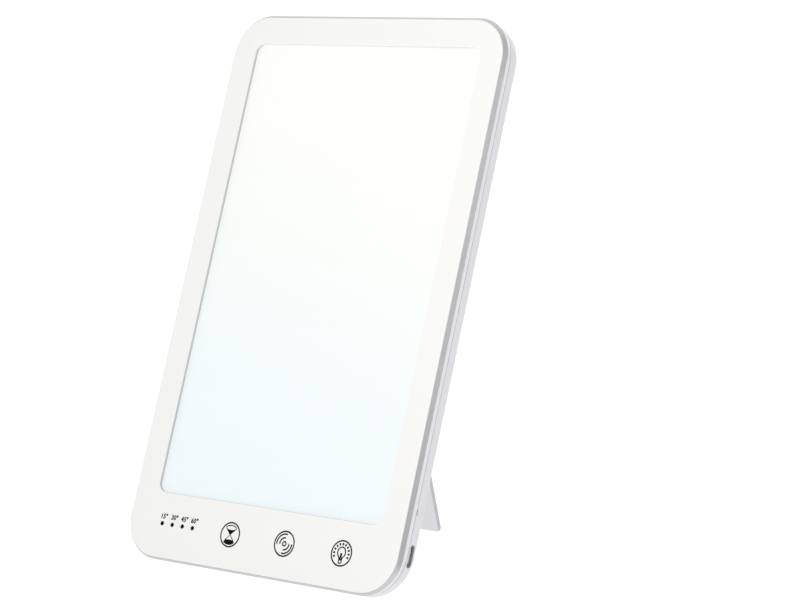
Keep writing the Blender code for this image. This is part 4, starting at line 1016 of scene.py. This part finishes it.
def ink_line(spots, centre_x, width, closed=False):
    """A printed line through spots given in millimetres from a key's centre, domed as screen ink dries."""
    bpy.ops.object.select_all(action="DESELECT")
    bpy.ops.curve.primitive_bezier_curve_add(location=(0, 0, 0))
    line = bpy.context.object
    spline = line.data.splines[0]
    spline.bezier_points.add(len(spots) - 2)
    for knot, spot in zip(spline.bezier_points, spots):
        knot.co = on_face(*spot, centre_x)
        knot.handle_left_type = "AUTO"
        knot.handle_right_type = "AUTO"
    spline.use_cyclic_u = closed
    return stroke(line, width)


def stroke(line, width):
    """Thickens a curve on the face, turns it into a mesh and flattens that to the ink's height."""
    path = line.data
    path.dimensions = "3D"
    path.resolution_u = 8
    path.bevel_depth = width / 2
    path.bevel_resolution = 2
    path.use_fill_caps = True
    alone(line)
    bpy.ops.object.convert(target="MESH")
    line = named("ink")
    edit(line)
    bpy.ops.mesh.select_all(action="SELECT")
    bpy.ops.transform.resize(value=(1, INK_HEIGHT / width, 1), center_override=(0, 0, 0))
    bpy.ops.mesh.normals_make_consistent(inside=False)
    leave()
    return line


def ink_arc(centre_x, radius, start, sweep, width=LINE_WIDTH):
    """A printed arc, in millimetres and degrees, or a whole ring."""
    steps = max(3, round(abs(sweep) / 15))
    whole = abs(sweep) >= 360
    spots = [around(start + sweep * step / steps, radius, radius)
             for step in range(steps if whole else steps + 1)]
    return ink_line(spots, centre_x, width, whole)


def ink_patch(outline, centre_x):
    """A filled printed shape inside an outline given in millimetres from the key's centre."""
    bpy.ops.object.select_all(action="DESELECT")
    bpy.ops.mesh.primitive_circle_add(vertices=len(outline), radius=0.001, fill_type="NGON")
    patch = named("ink")
    for vert, (across, up) in zip(patch.data.vertices, outline):
        vert.co = on_face(across, up, centre_x) - Vector((0, INK_HEIGHT / 2, 0))
    edit(patch)
    bpy.ops.mesh.select_all(action="SELECT")
    bpy.ops.mesh.extrude_region_move(TRANSFORM_OT_translate={"value": (0, INK_HEIGHT, 0)})
    bpy.ops.mesh.select_all(action="SELECT")
    bpy.ops.mesh.normals_make_consistent(inside=False)
    leave()
    return patch


def print_on_face(name, pieces):
    """Joins printed pieces into one print that rides on the panel."""
    alone(pieces[0])
    for piece in pieces:
        piece.select_set(True)
    bpy.ops.object.join()
    fit(named(name), INK, "smoked_lens")


def key_prints():
    x, ring = HOURGLASS_X, KEY_RING_RADIUS * 1000
    arch = [around(angle, 2.85, 1.15, 2.8) for angle in range(0, 181, 20)]
    base = [around(angle, 2.95, 1.4, -3.0) for angle in range(180, 361, 15)]
    print_on_face("hourglass_key_print", [
        ink_arc(x, ring * 0.985, 0, 360),
        ink_line(arch, x, GLASS_LINE),
        ink_line([(-2.85, 2.8), (-1.6, 1.6), (0, 0)], x, GLASS_LINE),
        ink_line([(2.85, 2.8), (1.6, 1.6), (0, 0)], x, GLASS_LINE),
        ink_line([(0, 0), (-1.1, -1.2), (-2.4, -2.5)], x, GLASS_NECK_LINE),
        ink_line([(0, 0), (1.1, -1.2), (2.4, -2.5)], x, GLASS_NECK_LINE),
        ink_patch([(-2.15, 2.4), (-1.2, 2.15), (0, 2.05), (1.2, 2.15), (2.15, 2.4), (0.4, 0.2),
                   (0, -0.3), (-0.4, 0.2)], x),
        ink_patch(base + [(2.2, -2.3), (0.9, -2.1), (0, -2.05), (-0.9, -2.1), (-2.2, -2.3)], x),
    ])
    x = COLOUR_KEY_X
    print_on_face("colour_key_print", [
        ink_arc(x, ring, 0, 360), ink_arc(x, 0.9, 0, 360, HUB_LINE),
        ink_arc(x, 2.5, 188, -103), ink_arc(x, 4.1, 188, -110),
        ink_arc(x, 2.6, 6, -100), ink_arc(x, 4.1, 4, -105),
    ])
    x = BULB_KEY_X
    outline = [(-0.75, -2.7), (-0.9, -1.9), (-1.7, -0.9), (-2.03, 0.35), (-1.55, 1.75), (-0.8, 2.4),
               (0, 2.6), (0.8, 2.4), (1.55, 1.75), (2.03, 0.35), (1.7, -0.9), (0.9, -1.9),
               (0.75, -2.7)]
    filament = [(-0.4, -2.6), (-0.25, -1.4), (0, -0.1), (0.25, -1.4), (0.4, -2.6)]
    rays = [ink_line([around(202.5 - 22.5 * index, reach, reach) for reach in (3.35, 4.4)], x, RAY_LINE)
            for index in range(11)]
    print_on_face("bulb_key_print", [
        ink_arc(x, ring, 0, 360),
        ink_line(outline, x, BULB_LINE),
        ink_line(filament, x, FILAMENT_LINE),
        ink_line([around(angle, 0.8, 0.75, -3.45) for angle in range(0, 360, 45)], x, CAP_LINE, True),
    ] + rays)


def timer_numbers():
    numbers = []
    for x, (text, left) in zip(TIMER_PLACES, (('15"', 1.66), ('30"', 1.45), ('45"', 1.47), ('60"', 1.59))):
        bpy.ops.object.select_all(action="DESELECT")
        bpy.ops.object.text_add(
            location=(x - left * 0.001, 0, NUMBER_HEIGHT), rotation=(math.pi / 2, 0, 0))
        number = bpy.context.object
        number.data.body = text
        number.data.size = NUMBER_SIZE
        number.data.shear = NUMBER_SLANT
        number.data.space_character = NUMBER_SPACING
        number.data.extrude = INK_HEIGHT / 2
        number.data.offset = NUMBER_WEIGHT
        number.data.resolution_u = 4
        number.scale = (NUMBER_NARROWER, 1, 1)
        bpy.ops.object.convert(target="MESH")
        numbers.append(named("ink"))
    print_on_face("timer_numbers_print", numbers)


# The studio

def studio():
    """A pale floor, soft light from all round and a camera at the photograph's angle."""
    bpy.ops.object.select_all(action="DESELECT")
    bpy.ops.mesh.primitive_grid_add(x_subdivisions=8, y_subdivisions=8, size=8, location=(0, 0, 0))
    floor = named("studio_floor")
    paint = bpy.data.materials.new("pale_floor")
    paint.use_nodes = True
    shader = paint.node_tree.nodes["Principled BSDF"]
    shader.inputs["Base Color"].default_value = (0.35, 0.35, 0.35, 1)
    shader.inputs["Roughness"].default_value = 1.0
    shader.inputs["Specular IOR Level"].default_value = 0.0
    shader.inputs["Emission Color"].default_value = (1, 1, 1, 1)
    shader.inputs["Emission Strength"].default_value = 0.80
    floor.data.materials.append(paint)

    world = bpy.data.worlds.new("white_studio")
    world.use_nodes = True
    bpy.context.scene.world = world
    tree = world.node_tree
    sky = tree.nodes["Background"]
    spot = tree.nodes.new("ShaderNodeTexCoord")
    parts = add_node(tree, "ShaderNodeSeparateXYZ", Vector=spot.outputs["Generated"])
    half = add_node(tree, "ShaderNodeMapRange", Value=parts.outputs["X"], From_Min=-1.0, From_Max=1.0)
    dim = add_node(tree, "ShaderNodeValToRGB", Fac=half.outputs["Result"])
    tones = dim.color_ramp.elements
    tones[0].position = 0.5
    tones[0].color = (0.83, 0.83, 0.84, 1)
    tones[1].color = (0.31, 0.31, 0.32, 1)
    tones.new(0.0).color = (0.86, 0.86, 0.86, 1)
    tone = dim.outputs["Color"]
    # Two soft lobes behind the lamp, which its top edge, side and back take their light from
    for towards, start, full, level in (((0.15, 0.68, 0.72), 0.74, 0.94, 1.25),
                                        ((-0.27, 0.89, 0.36), 0.76, 0.94, 1.6)):
        near = facing(tree, spot.outputs["Generated"], towards, start, full)
        tone = blended(tree, near, tone, (level, level, level * 1.02))
    tree.links.new(tone, sky.inputs["Color"])
    white = add_node(tree, "ShaderNodeBackground", Color=(1, 1, 1, 1), Strength=1.0)
    seen = tree.nodes.new("ShaderNodeLightPath")
    either = add_node(tree, "ShaderNodeMixShader", Fac=seen.outputs["Is Camera Ray"])
    tree.links.new(sky.outputs["Background"], either.inputs[1])
    tree.links.new(white.outputs["Background"], either.inputs[2])
    tree.links.new(either.outputs["Shader"], tree.nodes["World Output"].inputs["Surface"])

    soft_box("key_light", (0.30, -0.42, 0.48), 0.25, 1.0)

    lens = bpy.data.cameras.new("camera")
    lens.lens = CAMERA_LENS
    lens.sensor_width = SENSOR_WIDTH
    lens.sensor_fit = "HORIZONTAL"
    camera = bpy.data.objects.new("camera", lens)
    bpy.context.scene.collection.objects.link(camera)
    axes = Matrix((CAMERA_RIGHT, CAMERA_UP, CAMERA_RIGHT.cross(CAMERA_UP))).transposed()
    camera.matrix_world = Matrix.Translation(CAMERA_SPOT) @ axes.to_4x4()
    bpy.context.scene.camera = camera
    bpy.context.scene.view_settings.view_transform = "Standard"


def soft_box(name, spot, size, power):
    light = bpy.data.lights.new(name, "AREA")
    light.shape = "SQUARE"
    light.size = size
    light.energy = power
    lamp = bpy.data.objects.new(name, light)
    lamp.location = spot
    aim = Vector((0, 0, 0.11)) - Vector(spot)
    lamp.rotation_euler = aim.to_track_quat("-Z", "Y").to_euler()
    bpy.context.scene.collection.objects.link(lamp)


dress_frame()
face_plate()
trim_ring()
light_band()
back_shell()
rubber_feet()
opal_sheet()
timer_lenses()
case_screws()
stand_leg()
charging_socket()
key_prints()
timer_numbers()
studio()
